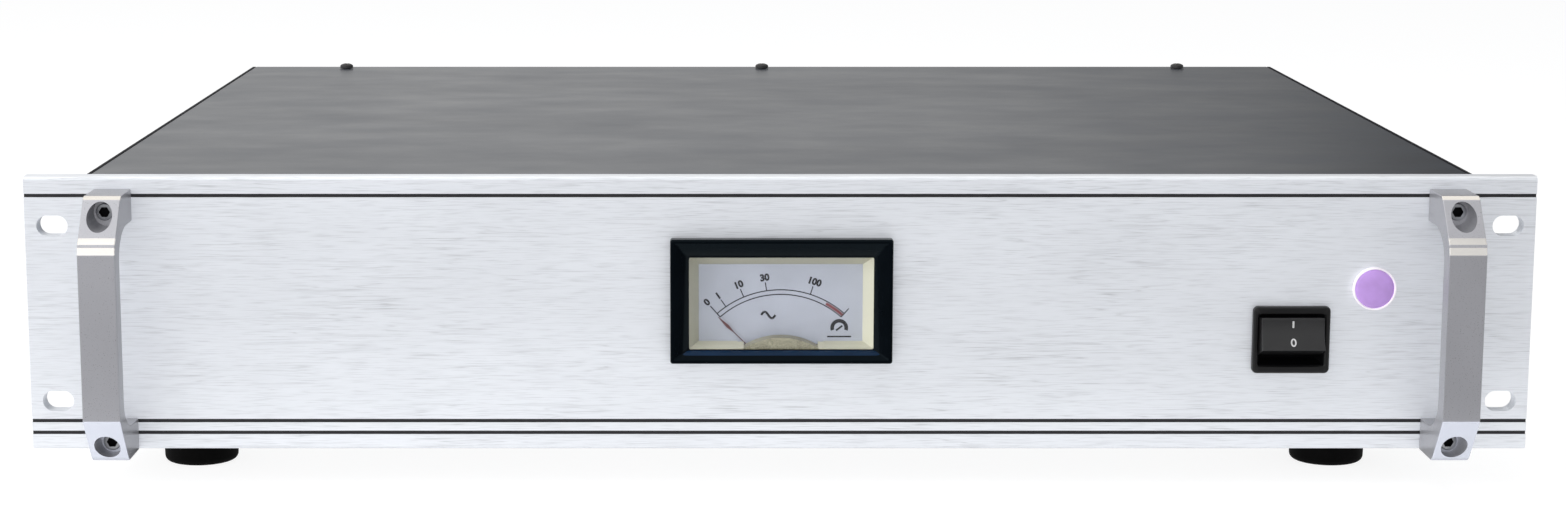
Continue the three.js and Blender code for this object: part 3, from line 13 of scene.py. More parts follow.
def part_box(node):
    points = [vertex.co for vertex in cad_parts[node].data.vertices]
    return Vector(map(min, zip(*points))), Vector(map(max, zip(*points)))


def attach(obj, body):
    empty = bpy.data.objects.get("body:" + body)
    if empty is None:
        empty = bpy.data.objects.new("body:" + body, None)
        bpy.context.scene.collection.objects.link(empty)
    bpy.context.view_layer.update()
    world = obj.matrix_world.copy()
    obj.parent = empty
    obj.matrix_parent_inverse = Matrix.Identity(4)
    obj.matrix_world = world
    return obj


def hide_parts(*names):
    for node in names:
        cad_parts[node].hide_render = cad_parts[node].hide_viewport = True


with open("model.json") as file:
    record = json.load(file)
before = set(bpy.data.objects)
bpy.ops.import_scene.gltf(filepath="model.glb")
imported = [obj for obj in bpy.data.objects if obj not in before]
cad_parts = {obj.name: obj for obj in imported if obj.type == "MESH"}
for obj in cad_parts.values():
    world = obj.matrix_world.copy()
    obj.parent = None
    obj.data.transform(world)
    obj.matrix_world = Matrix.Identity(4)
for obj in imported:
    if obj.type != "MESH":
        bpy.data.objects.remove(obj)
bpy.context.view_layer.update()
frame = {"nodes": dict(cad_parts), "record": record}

MM = 0.001
PANEL_LOW, PANEL_HIGH = (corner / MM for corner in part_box("front_panel"))
FRONT = PANEL_LOW.y
ORIGIN = Vector((0, FRONT, 0))
SIDES = ("left", "right")
NODE_SLOTS = {s["node"]: s["material_slot"] for s in frame["record"]["subparts"]}


def node_box(name):
    """Lowest and highest corner of a CAD node, with Y from the panel's front."""
    low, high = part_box(name)
    return low / MM - ORIGIN, high / MM - ORIGIN


def middle_of(name):
    return [(low + high) / 2 for low, high in zip(*node_box(name))]


def tuned(thing, **settings):
    for name, value in settings.items():
        setattr(thing, name, value)
    return thing


# Front panel levels

PANEL_HALF = PANEL_HIGH.x
PANEL_THICK = PANEL_HIGH.y - PANEL_LOW.y
BOTTOM, TOP = PANEL_LOW.z, PANEL_HIGH.z
MIDDLE = (BOTTOM + TOP) / 2
GROOVES = (TOP - 6.1, BOTTOM + 9.4, BOTTOM + 5.5)
GROOVE_WIDTH = 1.1
GROOVE_DEPTH = 0.8
TONED_DEPTHS = (0.1, 1.5)
TONED_HALF = 0.9


# Node trees


def srgb(red, green, blue):
    """The linear colour of one that is given in sRGB bytes."""
    return tuple(
        (c / 255 / 12.92) if c <= 10 else ((c / 255 + 0.055) / 1.055) ** 2.4
        for c in (red, green, blue)
    )


def shade(color, share):
    return tuple(share * c for c in color)


class Nodes:
    """Short calls that add nodes to a tree."""

    def __init__(self, tree):
        self.tree = tree

    def node(self, kind, **settings):
        return tuned(self.tree.nodes.new("ShaderNode" + kind), **settings)

    def feed(self, node, *values, **named):
        """Sets or links a node's inputs, in order or by name, and gives its first output."""
        sockets = list(zip(node.inputs, values))
        sockets += [(node.inputs[name.replace("_", " ")], value) for name, value in named.items()]
        for socket, value in sockets:
            if isinstance(value, bpy.types.NodeSocket):
                self.tree.links.new(value, socket)
            elif socket.type == "RGBA" and len(value) == 3:
                socket.default_value = (*value, 1)
            else:
                socket.default_value = value
        return node.outputs[0]

    def math(self, operation, a, b=0.0):
        return self.feed(self.node("Math", operation=operation), a, b)

    def mix(self, share, a, b, blend="MIX"):
        return self.feed(self.node("MixRGB", blend_type=blend), share, a, b)

    def fit(self, value, low, high, to_low=0.0, to_high=1.0, kind="LINEAR"):
        """A value from one range in another, held at its ends."""
        fitted = self.node("MapRange", interpolation_type=kind)
        return self.feed(fitted, value, low, high, to_low, to_high)

    def ramp(self, value, stops):
        """Grey levels along a value that runs from -1 to 1."""
        made = self.node("ValToRGB")
        made.color_ramp.interpolation = "EASE"
        while len(made.color_ramp.elements) < len(stops):
            made.color_ramp.elements.new(0.5)
        for element, (where, level) in zip(made.color_ramp.elements, stops):
            element.position = (where + 1) / 2
            element.color = (level, level, level, 1)
        return self.feed(made, self.fit(value, -1, 1))

    def background_rays(self):
        """1 for the camera, mirror and glass rays that show the white background."""
        light = self.node("LightPath")
        seen = light.outputs["Is Camera Ray"]
        for kind in ("Is Glossy Ray", "Is Transmission Ray"):
            seen = self.math("MAXIMUM", seen, light.outputs[kind])
        return seen

    def show(self, output, share, first, second):
        """Shows one shader where share is 0 and another where it is 1."""
        mixed = self.feed(self.node("MixShader"), share, first, second)
        self.tree.links.new(mixed, self.tree.nodes[output].inputs["Surface"])


SURFACES = {}


class Surface(Nodes):
    """A node material. Its sizes and depths are millimetres."""

    def __init__(self, name, color, rough, metallic=0.0, **sockets):
        self.material = bpy.data.materials.new(name)
        self.material.use_nodes = True
        super().__init__(self.material.node_tree)
        self.shader = self.tree.nodes["Principled BSDF"]
        self.place = self.node("TexCoord").outputs["Object"]
        self.feed(self.shader, Base_Color=color, Roughness=rough, Metallic=metallic, **sockets)
        SURFACES[name] = self.material

    def grain(self, size, detail=2, rough=0.5, distortion=0.0, shift=0.0):
        """Noise whose spots have about one size, or one along each axis."""
        sizes = size if isinstance(size, tuple) else (size,) * 3
        scale = [1 / (length * MM) for length in sizes]
        mapping = self.node("Mapping")
        place = self.feed(mapping, Vector=self.place, Scale=scale, Location=(shift,) * 3)
        noise = self.node("TexNoise")
        self.feed(noise, Vector=place, Scale=1, Detail=detail)
        return self.feed(noise, Roughness=rough, Distortion=distortion)

    def waves(self, axis, pitch):
        """Even ridges across an axis."""
        wave = self.node("TexWave", bands_direction=axis, wave_profile="SIN")
        self.feed(wave, Vector=self.place, Scale=pi / 10 / (pitch * MM))
        return wave.outputs["Fac"]

    def axis(self, letter):
        """The place along one axis in metres."""
        split = self.node("SeparateXYZ")
        self.feed(split, self.place)
        return split.outputs[letter]

    def near(self, letter, middle, reach):
        """1 within reach of a middle along an axis, 0 elsewhere."""
        compare = self.node("Math", operation="COMPARE")
        return self.feed(compare, self.axis(letter), middle * MM, reach * MM)

    def in_grooves(self):
        """1 on the walls and floors of the panel's grooves, 0 elsewhere."""
        level = 0.0
        for groove in GROOVES:
            level = self.math("ADD", level, self.near("Z", groove, TONED_HALF))
        shallow, deep = TONED_DEPTHS
        depth = self.near("Y", FRONT + (shallow + deep) / 2, (deep - shallow) / 2)
        return self.math("MULTIPLY", level, depth)

    def mottle(self, value, span, color, dark, light):
        """A colour between two shades of itself, as a value runs through a span."""
        return self.mix(self.fit(value, *span), shade(color, dark), shade(color, light))

    def finished(self, color, rough, height, depth):
        """The material with its colour, its gloss and its bumps."""
        bump = self.feed(self.node("Bump"), Height=height, Distance=depth * MM)
        self.feed(self.shader, Base_Color=color, Roughness=rough, Normal=bump)
        return self.material


# Kinds of surface. A span is the stretch of a noise's values that its two ends are laid over

WIDE = (0.3, 0.7)
SOFT = (0.35, 0.65)
RAISED = (0.35, 0.7)
HAIR_SHARE = 0.22
LONG_SHARE = 0.25
FINE_SHARE = 0.22
STROKE_SHADE = 0.3
FAINT = 0.06


def brushed(name, color, groove_color, rough, metallic):
    """Anodised metal brushed along X: fine dark lines, longer ones and pale clouds."""
    s = Surface(name, color, rough, metallic)
    hair = s.grain((10, 0.34, 0.34), detail=2.5, rough=0.6, distortion=0.14)
    line = s.grain((30, 0.8, 0.8), rough=0.55, distortion=0.25, shift=3)
    crack = s.grain((44, 1.5, 1.5), detail=1.5, distortion=0.3, shift=19)
    cloud = s.grain((70, 26, 26), shift=7)
    thin = s.math("MULTIPLY", s.fit(hair, 0.30, 0.5, 1.0, 0.0), HAIR_SHARE)
    long = s.math("MULTIPLY", s.fit(line, 0.28, 0.36, 1.0, 0.0), LONG_SHARE)
    fine = s.fit(s.math("ABSOLUTE", s.math("SUBTRACT", crack, 0.5)), 0.0, 0.03, 1.0, 0.0)
    strokes = s.math("ADD", long, s.math("MULTIPLY", fine, FINE_SHARE))
    busy = s.fit(s.grain((40, 16, 16), detail=1, shift=11), 0.42, 0.62, 0.15, 1.0)
    dark = s.math("ADD", thin, s.math("MULTIPLY", strokes, busy))
    tone = s.mix(dark, s.mottle(cloud, SOFT, color, 0.97, 1.02), shade(color, STROKE_SHADE))
    tone = s.mix(s.in_grooves(), tone, groove_color)
    gloss = s.fit(hair, *WIDE, rough + 0.05, rough - 0.05)
    return s.finished(tone, gloss, hair, 0.006)


def painted(name, color, rough):
    """Satin paint: a fine orange-peel skin and a cloudy gloss."""
    s = Surface(name, color, rough)
    cloud = s.grain((38, 26, 26), detail=4, rough=0.6)
    wipe = s.grain((120, 45, 45), shift=5, distortion=0.6)
    tone = s.mottle(cloud, RAISED, color, 0.86, 1.2)
    gloss = s.math("ADD", s.fit(cloud, *WIDE, -0.035, 0.035), s.fit(wipe, *SOFT, -0.015, 0.015))
    return s.finished(tone, s.math("ADD", gloss, rough), s.grain(0.35), 0.012)


def moulded(name, color, rough, spot=0.25, depth=0.008, sheen=0.5, **sockets):
    """Moulded plastic or rubber with a fine spark-eroded grain."""
    s = Surface(name, color, rough, Specular_IOR_Level=sheen, **sockets)
    rub = s.grain(9, detail=3, shift=4)
    tone = s.mottle(rub, RAISED, color, 0.88, 1.12)
    gloss = s.fit(rub, *WIDE, rough - 0.05, rough + 0.06)
    return s.finished(tone, gloss, s.grain(spot, rough=0.6), depth)


def plated(name, color, rough):
    """Plated steel: clear spangle, small stains and fine scratches."""
    s = Surface(name, color, rough, 1.0)
    spangle = s.grain(2.5, detail=3, rough=0.65)
    stain = s.grain(30, detail=3, shift=2)
    tone = s.mottle(spangle, WIDE, color, 0.86, 1.08)
    tone = s.mix(s.fit(stain, 0.45, 0.75, 0.0, 0.25), tone, shade(color, 0.7))
    gloss = s.fit(spangle, *WIDE, rough - 0.08, rough + 0.08)
    s.finished(tone, gloss, s.grain((14, 0.25, 0.25), shift=9), 0.003)


def turned_metal(name, color, rough):
    """Plated turned metal with faint tool marks and rubbed spots."""
    s = Surface(name, color, rough, 1.0)
    rub = s.grain(3, detail=3, shift=6)
    gloss = s.fit(rub, *WIDE, rough - 0.06, rough + 0.1)
    return s.finished(s.mottle(rub, RAISED, color, 0.8, 1.0), gloss, s.grain(0.22), 0.004)


def satin(name, color, rough, metallic, rim=1.0):
    """Blasted and anodised metal; rim is how much its skin shows edge-on."""
    s = Surface(name, color, rough, metallic, Specular_Tint=(rim, rim, rim, 1))
    skin = s.grain(0.3)
    tone = s.mottle(s.grain(22, shift=6), SOFT, color, 0.97, 1.02)
    gloss = s.fit(skin, *WIDE, rough - 0.03, rough + 0.03)
    return s.finished(tone, gloss, skin, 0.0008)


def printed_card(name, face, wall, rough, start):
    """Cream moulded tray that carries a cooler printed card from a depth on."""
    s = Surface(name, wall, rough)
    card = s.mottle(s.grain(14, shift=8), SOFT, face, 0.94, 1.04)
    here = s.math("GREATER_THAN", s.axis("Y"), (FRONT + start) * MM)
    return s.finished(s.mix(here, wall, card), rough, s.grain(0.35, detail=3), 0.01)


def speckled(name, color, rough):
    """Etched olive metal with light and dark specks."""
    s = Surface(name, color, rough, 0.4)
    speck = s.grain(0.35, detail=4, rough=0.75)
    cloud = s.grain(5, detail=3, shift=3)
    tone = s.mottle(speck, (0.36, 0.64), color, 0.55, 1.45)
    tone = s.mix(s.fit(cloud, *WIDE, 0.0, 0.35), tone, shade(color, 0.7))
    return s.finished(tone, rough, speck, 0.02)


def circuit_board(name, color):
    """Green lacquer over copper tracks, with a woven ground."""
    s = Surface(name, color, 0.35)
    bricks = s.node("TexBrick", offset=0.5)
    s.feed(bricks, Vector=s.place, Scale=1 / (9 * MM), Mortar_Size=0.035)
    tracks = bricks.outputs["Fac"]
    weave = s.math("MULTIPLY", s.waves("X", 0.6), s.waves("Y", 0.6))
    ground = s.mix(s.fit(weave, 0.0, 1.0, 0.0, 0.25), color, shade(color, 0.7))
    tone = s.mix(tracks, ground, tuple(1.7 * c + 0.01 for c in color))
    s.finished(tone, s.fit(s.grain(5), *WIDE, 0.28, 0.42), tracks, 0.04)


def clear_pane(name):
    """Clear acrylic that lets lamps through to the dial behind it."""
    s = Surface(name, (1, 1, 1), 0.03, Transmission_Weight=1.0, IOR=1.38)
    smear = s.grain((20, 20, 8), detail=3, distortion=0.4)
    s.feed(s.shader, Roughness=s.fit(smear, 0.4, 0.75, 0.015, 0.06))
    shadow = s.node("LightPath").outputs["Is Shadow Ray"]
    gone = s.node("BsdfTransparent").outputs[0]
    s.show("Material Output", shadow, s.shader.outputs[0], gone)
    return s.material


def lit_lens(name, color, rough):
    """Diffusing lens of a pilot lamp that glows faintly."""
    s = Surface(name, color, rough, Emission_Color=color, Emission_Strength=FAINT)
    tone = s.mottle(s.grain(4, shift=1), SOFT, color, 0.95, 1.05)
    return s.finished(tone, rough, s.grain(0.3), 0.01)


# Surfaces. One whose name is a material slot's dresses the nodes of that slot

DIAL_FACE = 8.8
CARD_MARGIN = 0.1
SLICK = 0.0005
PRINTED = 0.002
BLUE_TINT = (0.6, 0.85, 1.0, 1)
PINKISH = (1.0, 0.95, 1.0, 1)
SILVER = brushed("panel_silver", srgb(243, 246, 251), srgb(58, 58, 60), 0.5, 0.5)
HANDLE = satin("handle_silver", srgb(188, 188, 193), 0.3, 0.62, rim=0.6)
# Painted highlight: a paler, warmer tone for the handle's upper end bevel, ledge and grip edge,
# standing in for mirrored overhead light.
HANDLE_HIGHLIGHT = satin("handle_painted_highlight", srgb(236, 233, 228), 0.18, 0.7)
# Painted reflection: a paler, bluish tone for the front of the handle's lower end, standing in for the
# mirrored floor.
HANDLE_FLOOR_REFLECTION = satin("handle_painted_floor_reflection", srgb(224, 228, 240), 0.24, 0.62, rim=0.6)
PAINT = painted("paint_black", srgb(41, 46, 54), 0.34)
GLOSS = moulded(
    "gloss_black", srgb(5, 8, 12), 0.1, depth=SLICK, sheen=0.1, Specular_Tint=BLUE_TINT
)
# Painted reflection: the blue in this near-black stands in for the sky mirrored in the meter frame's
# lower lip.
SILL_BLUE_REFLECTION = moulded("sill_painted_blue_reflection", srgb(13, 37, 62), 0.14, depth=SLICK, sheen=0.15)
PLASTIC = moulded("plastic_black", srgb(36, 36, 37), 0.42)
BEZEL_PLASTIC = moulded("plastic_bezel", srgb(15, 15, 16), 0.4, sheen=0.35)
WHITE = moulded(
    "plastic_white", srgb(252, 246, 252), 0.4, Emission_Color=PINKISH, Emission_Strength=FAINT
)
RUBBER = moulded("rubber_black", srgb(5, 5, 5), 0.8, spot=0.4, depth=0.02, sheen=0.08)
STEEL = turned_metal("screw_steel", srgb(170, 172, 176), 0.3)
CARD = printed_card(
    "dial_cream", srgb(162, 167, 180), srgb(188, 187, 169), 0.6, start=DIAL_FACE - CARD_MARGIN
)
OLIVE = speckled("olive_metal", srgb(150, 147, 126), 0.5)
NEEDLE = moulded("needle_red", srgb(74, 22, 28), 0.45)
INK = moulded("dial_ink", srgb(12, 12, 20), 0.55, depth=PRINTED, sheen=0.2)
RED_INK = moulded("dial_red", srgb(104, 22, 30), 0.55, depth=PRINTED)
MARK = moulded("switch_marks", srgb(200, 200, 200), 0.5, depth=PRINTED)
# Painted shade: dark matt strips on the cover's two bends, where the rounded edges fall in shade.
BEND_SHADE = moulded("cover_bend_painted_shade", srgb(26, 26, 30), 0.75, depth=0.01, sheen=0.1)
# Painted shade: near-black lining for socket and cross recesses, the switch's cavity and the rocker's
# underside.
SHADE_LINING = moulded("painted_shade_lining", srgb(8, 8, 10), 0.7, depth=0.004, sheen=0.1)
BLACK_STEEL = moulded("screw_black", srgb(34, 34, 36), 0.4)
PANE = clear_pane("window_clear")
LENS = lit_lens("lens_violet", srgb(188, 150, 219), 0.35)
turned_metal("nickel", srgb(214, 210, 200), 0.22)
plated("sheet_zinc", srgb(176, 178, 180), 0.38)
plated("heatsink_black", srgb(46, 47, 50), 0.45)
plated("can_aluminium", srgb(200, 202, 205), 0.35)
plated("supply_grey", srgb(182, 184, 186), 0.4)
circuit_board("board_green", srgb(36, 92, 58))
moulded("fan_black", srgb(27, 27, 29), 0.5)
moulded("coax_black", srgb(24, 24, 24), 0.45)
moulded("wire_red", srgb(150, 28, 30), 0.42)
moulded("wire_blue", srgb(44, 62, 104), 0.42)


# Outlines in a plane, counter-clockwise


def circle(radius, u=0.0, v=0.0, count=48):
    turn = 2 * pi / count
    return [(u + radius * cos(i * turn), v + radius * sin(i * turn)) for i in range(count)]


def oval(half_width, half_height, u, v, count=40):
    return [(u + half_width * x, v + half_height * y) for x, y in circle(1, count=count)]


def arc(radius, start, end, u=0.0, v=0.0, count=8):
    """Points on an arc; angles in degrees."""
    steps = [radians(start + (end - start) * i / count) for i in range(count + 1)]
    return [(u + radius * cos(a), v + radius * sin(a)) for a in steps]


def quarter_turn(steps):
    """Angles from 0 to a quarter turn, in radians."""
    return [radians(90 * i / steps) for i in range(steps + 1)]


def crown(radius, top, drop, steps=10):
    """The (radius, along) points of a rounded end."""
    turns = quarter_turn(steps)
    return [(radius * sin(a), top + drop * (1 - cos(a))) for a in turns]


def rectangle(left, bottom, right, top):
    return [(left, bottom), (right, bottom), (right, top), (left, top)]


def rounded(width, height, radius, u, v, count=6):
    right, top = width / 2 - radius, height / 2 - radius
    points = []
    for quarter, (side_u, side_v) in enumerate(((1, 1), (-1, 1), (-1, -1), (1, -1))):
        start = 90 * quarter
        centre = (u + side_u * right, v + side_v * top)
        points += arc(radius, start, start + 90, *centre, count=count)
    return points


def obround(length, height, u, v, count=16):
    reach, radius = (length - height) / 2, height / 2
    return arc(radius, -90, 90, u + reach, v, count) + arc(radius, 90, 270, u - reach, v, count)


def between(start, end, share):
    return (1 - share) * start + share * end


# Solids in a bmesh

OVER = 2.0
AXES = {
    "X": lambda u, v, along: (along, u, v),
    "Y": lambda u, v, along: (u, along, v),
    "Z": lambda u, v, along: (u, v, along),
}


def skin(bm, near, far):
    """Faces between two rings of vertices, either of which may be a single point."""
    count = max(len(near), len(far))
    for i in range(count):
        j = (i + 1) % count
        ends = [(near, i), (near, j), (far, j), (far, i)]
        bm.faces.new(dict.fromkeys(ring[k % len(ring)] for ring, k in ends))


def skins(bm, rings, closed):
    """Faces through rings of points, open at both ends or closed into a loop."""
    rows = [[bm.verts.new(point) for point in ring] for ring in rings]
    for near, far in zip(rows, rows[1:] + (rows[:1] if closed else [])):
        skin(bm, near, far)
    return rows


def loft(bm, rings, closed=False):
    """Skins with a cap at each end, unless they are closed into a loop."""
    rows = skins(bm, rings, closed)
    if not closed:
        bm.faces.new(rows[0][::-1])
        bm.faces.new(rows[-1])


def prism(bm, outline, low, high, axis="Y"):
    loft(bm, [[AXES[axis](u, v, along) for u, v in outline] for along in (low, high)])


def block(bm, low, high):
    """A block between two corners."""
    prism(bm, rectangle(low[0], low[2], high[0], high[2]), low[1], high[1])


def lathe(bm, profile, u, v, axis="Y", sides=48):
    """Turns (radius, along) points about an axis through (u, v)."""
    closed = profile[0] == profile[-1]
    rings = []
    for radius, along in profile[:-1] if closed else profile:
        points = circle(radius, u, v, sides) if radius else [(u, v)]
        rings.append([AXES[axis](*point, along) for point in points])
    skins(bm, rings, closed)


def rod(bm, radius, near, far, u, v, sides=48):
    lathe(bm, [(0, near), (radius, near), (radius, far), (0, far)], u, v, sides=sides)


def turn(bm, angle, centre, axis):
    """Turns all that is drawn so far about a line by degrees."""
    matrix = Matrix.Rotation(radians(angle), 3, axis)
    bmesh.ops.rotate(bm, verts=bm.verts, cent=centre, matrix=matrix)


# Pieces

SHARP_ANGLE = 32
SAME_PLACE = 0.001
FLAT_ANGLE = 1


def put_in_scene(name, data):
    obj = bpy.data.objects.new(name, data)
    bpy.context.scene.collection.objects.link(obj)
    return obj


def mesh_object(name, bm, surface):
    mesh = bpy.data.meshes.new(name)
    bm.to_mesh(mesh)
    bm.free()
    mesh.materials.append(surface)
    return put_in_scene(name, mesh)


def raw_object(name, bm, surface):
    """A mesh object in the frame's metres, from a drawing in millimetres."""
    bmesh.ops.recalc_face_normals(bm, faces=bm.faces)
    to_frame = Matrix.Scale(MM, 4) @ Matrix.Translation(ORIGIN)
    bmesh.ops.transform(bm, matrix=to_frame, verts=bm.verts)
    return mesh_object(name, bm, surface)


def evaluated_mesh(obj):
    view = bpy.context.evaluated_depsgraph_get()
    return bpy.data.meshes.new_from_object(obj.evaluated_get(view))


def bake(obj, kind, **settings):
    """Applies one modifier to an object's mesh."""
    tuned(obj.modifiers.new(kind.lower(), kind), **settings)
    mesh = evaluated_mesh(obj)
    obj.modifiers.clear()
    obj.data = mesh


def carve(obj, tools, lining=None):
    """Cuts a drawing out of an object, and lines the cut with a surface."""
    cutter = raw_object(obj.name + "_cutter", tools, lining or obj.data.materials[0])
    how = {"operation": "DIFFERENCE", "solver": "EXACT", "use_self": True, "material_mode": "TRANSFER"}
    bake(obj, "BOOLEAN", object=cutter, **how)
    bpy.data.objects.remove(cutter)


def retouch(obj, surface, chosen):
    """Gives another surface to the faces whose centre and normal pass."""
    obj.data.materials.append(surface)
    last = len(obj.data.materials) - 1
    for face in obj.data.polygons:
        if chosen(face.center / MM - ORIGIN, face.normal):
            face.material_index = last


def soften(obj, width, angle=35):
    """Rounds the sharp edges."""
    angle = radians(angle)
    bake(obj, "BEVEL", width=width * MM, segments=2, limit_method="ANGLE", angle_limit=angle)


def dress(obj, node=None, body="chassis"):
    """Shades an object smooth with its sharp edges kept, hangs it on a body and hides the node it
    stands for.
    """
    mesh = obj.data
    mesh.polygons.foreach_set("use_smooth", [True] * len(mesh.polygons))
    mesh.set_sharp_from_angle(angle=radians(SHARP_ANGLE))
    bake(obj, "WEIGHTED_NORMAL", keep_sharp=True)
    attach(obj, body)
    if node:
        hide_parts(node)


def make(name, bm, surface, node=None, body="chassis", edge=0.0, tools=None, lining=None):
    """A finished piece from a drawing, cut by tools and with rounded edges."""
    obj = raw_object(name, bm, surface)
    if tools is not None:
        carve(obj, tools, lining)
    if edge:
        soften(obj, edge)
    dress(obj, node, body)


def copy_node(node, name, edge, body="chassis"):
    """A node's own shape with its flat faces merged and its edges rounded."""
    bm = bmesh.new()
    bm.from_mesh(frame["nodes"][node].data)
    bmesh.ops.remove_doubles(bm, verts=bm.verts, dist=SAME_PLACE * MM)
    flat = radians(FLAT_ANGLE)
    bmesh.ops.dissolve_limit(bm, angle_limit=flat, verts=bm.verts, edges=bm.edges)
    obj = mesh_object(name, bm, SURFACES[NODE_SLOTS[node]])
    soften(obj, edge)
    dress(obj, node, body)


# Front panel

GAP = 0.3
EDGE_RADIUS = 1.2
PANEL_SOFTNESS = 0.12
OPENING_CORNER = 1.0
RACK_SLOT = (10.0, 6.6)
RACK_SLOT_X = PANEL_HALF - 8.75
RACK_SLOT_RISE = 57.15
SCREW_HOLE = 1.8
HANDLE_SCREW_MARGIN = 5.5
METER_X = middle_of("meter_case")[0]
WINDOW_LOW, WINDOW_HIGH = node_box("meter_window")
WINDOW_SIZE = WINDOW_HIGH - WINDOW_LOW
WINDOW_MIDDLE = (WINDOW_LOW.z + WINDOW_HIGH.z) / 2
WINDOW_LAP = 0.8
COLLAR_WALL = 1.4
SWITCH_X, _, SWITCH_Z = middle_of("switch_body")
SWITCH_OPENING = (20.8, 16.2)
SWITCH_WALL = 1.3
LAMP_X, _, LAMP_Z = middle_of("lamp_body")
LAMP_BARREL = 5.0


def handle_screw_places():
    """Name, X and Z of the four screws that hold the handles."""
    for side in SIDES:
        low, high = node_box(side + "_handle")
        x, _, z = middle_of(side + "_handle")
        rise = (high.z - low.z) / 2 - HANDLE_SCREW_MARGIN
        yield f"{side}_top", x, z + rise
        yield f"{side}_bottom", x, z - rise


def panel_holes():
    """Rack slots, screw holes and the openings of the meter, switch and lamp."""
    grown = 2 * (GAP + COLLAR_WALL + GAP)
    meter = (WINDOW_SIZE.x + grown, WINDOW_SIZE.z + grown)
    switch = (size + 2 * (SWITCH_WALL + GAP) for size in SWITCH_OPENING)
    outlines = [
        obround(*RACK_SLOT, side * RACK_SLOT_X, MIDDLE + row * RACK_SLOT_RISE / 2)
        for side in (-1, 1)
        for row in (-1, 1)
    ]
    outlines += [circle(SCREW_HOLE, x, z) for _, x, z in handle_screw_places()]
    outlines.append(rounded(*meter, OPENING_CORNER, METER_X, WINDOW_MIDDLE))
    outlines.append(rounded(*switch, OPENING_CORNER, SWITCH_X, SWITCH_Z))
    outlines.append(circle(LAMP_BARREL + GAP, LAMP_X, LAMP_Z))
    bm = bmesh.new()
    for outline in outlines:
        prism(bm, outline, -OVER, PANEL_THICK + OVER)
    return bm


def front_panel():
    outline = [(PANEL_THICK, BOTTOM), (PANEL_THICK, TOP)]
    outline += arc(EDGE_RADIUS, 90, 180, EDGE_RADIUS, TOP - EDGE_RADIUS)
    for level in GROOVES:
        for z in (level + GROOVE_WIDTH / 2, level - GROOVE_WIDTH / 2):
            edge, floor = (0, z), (GROOVE_DEPTH, z)
            outline += [edge, floor] if z > level else [floor, edge]
    outline += arc(EDGE_RADIUS, 180, 270, EDGE_RADIUS, BOTTOM + EDGE_RADIUS)
    bm = bmesh.new()
    prism(bm, outline, -PANEL_HALF, PANEL_HALF, "X")
    make("panel_face", bm, SILVER, "front_panel", edge=PANEL_SOFTNESS, tools=panel_holes())


front_panel()


# Handles and their screws

GRIP_THICKNESS = 6.8
POST_HEIGHT = 10.3
POST_DEPTH = 8.3
INNER_CURVE_HEIGHT = 10.0
INNER_CURVE_STEPS = 18
END_FACE_DEPTH = 15.6
END_BEVEL = (1.8, 1.2)
BOSS_FACE = (8.6, 10.6)
LEDGE_DROP = 2.0
STEP_DROP = 0.7
GRIP_EDGE = (0.6, 2.3)
LOWER_GRIP_DROP = 3.4
HANDLE_SOFTNESS = 0.3
HANDLE_SHARP_ANGLE = 10
COUNTERBORE_FLOOR = 10.0
COUNTERBORES = {"top": (4.0, 4.4, -0.4), "bottom": (4.1, 4.1, 0.1)}
COUNTERBORE_SIDES = 64
FLOOR_REFLECTION_HEIGHT = 15.4
HIGHLIGHT_BANDS = ((0.1, 1.1), (11.9, 13.7), (14.6, 16.7))
FRONTWARD = -0.2


def handle_outline(out, half):
    """Points (distance out from the panel, height from the middle)."""
    inner_face = out - GRIP_THICKNESS
    boss_start = END_FACE_DEPTH + END_BEVEL[0]
    boss_top = half - END_BEVEL[1]
    ledge = boss_top - BOSS_FACE[1]
    step = ledge - LEDGE_DROP
    inset, slope = GRIP_EDGE
    grip = step - STEP_DROP
    boss = [(0, half), (END_FACE_DEPTH, half), (boss_start, boss_top)]
    boss.append((boss_start + BOSS_FACE[0], ledge))
    upper = boss + [(out - inset, step), (out - inset, grip), (out, grip - slope)]
    lower = boss + [(out, ledge - LOWER_GRIP_DROP)]
    curve = [(0, half - POST_HEIGHT)]
    for angle in quarter_turn(INNER_CURVE_STEPS):
        o = POST_DEPTH + (inner_face - POST_DEPTH) * sin(angle)
        curve.append((o, half - POST_HEIGHT - INNER_CURVE_HEIGHT * (1 - cos(angle))))
    outline = upper + [(o, -z) for o, z in lower[::-1]]
    return outline + [(o, -z) for o, z in curve] + curve[::-1]


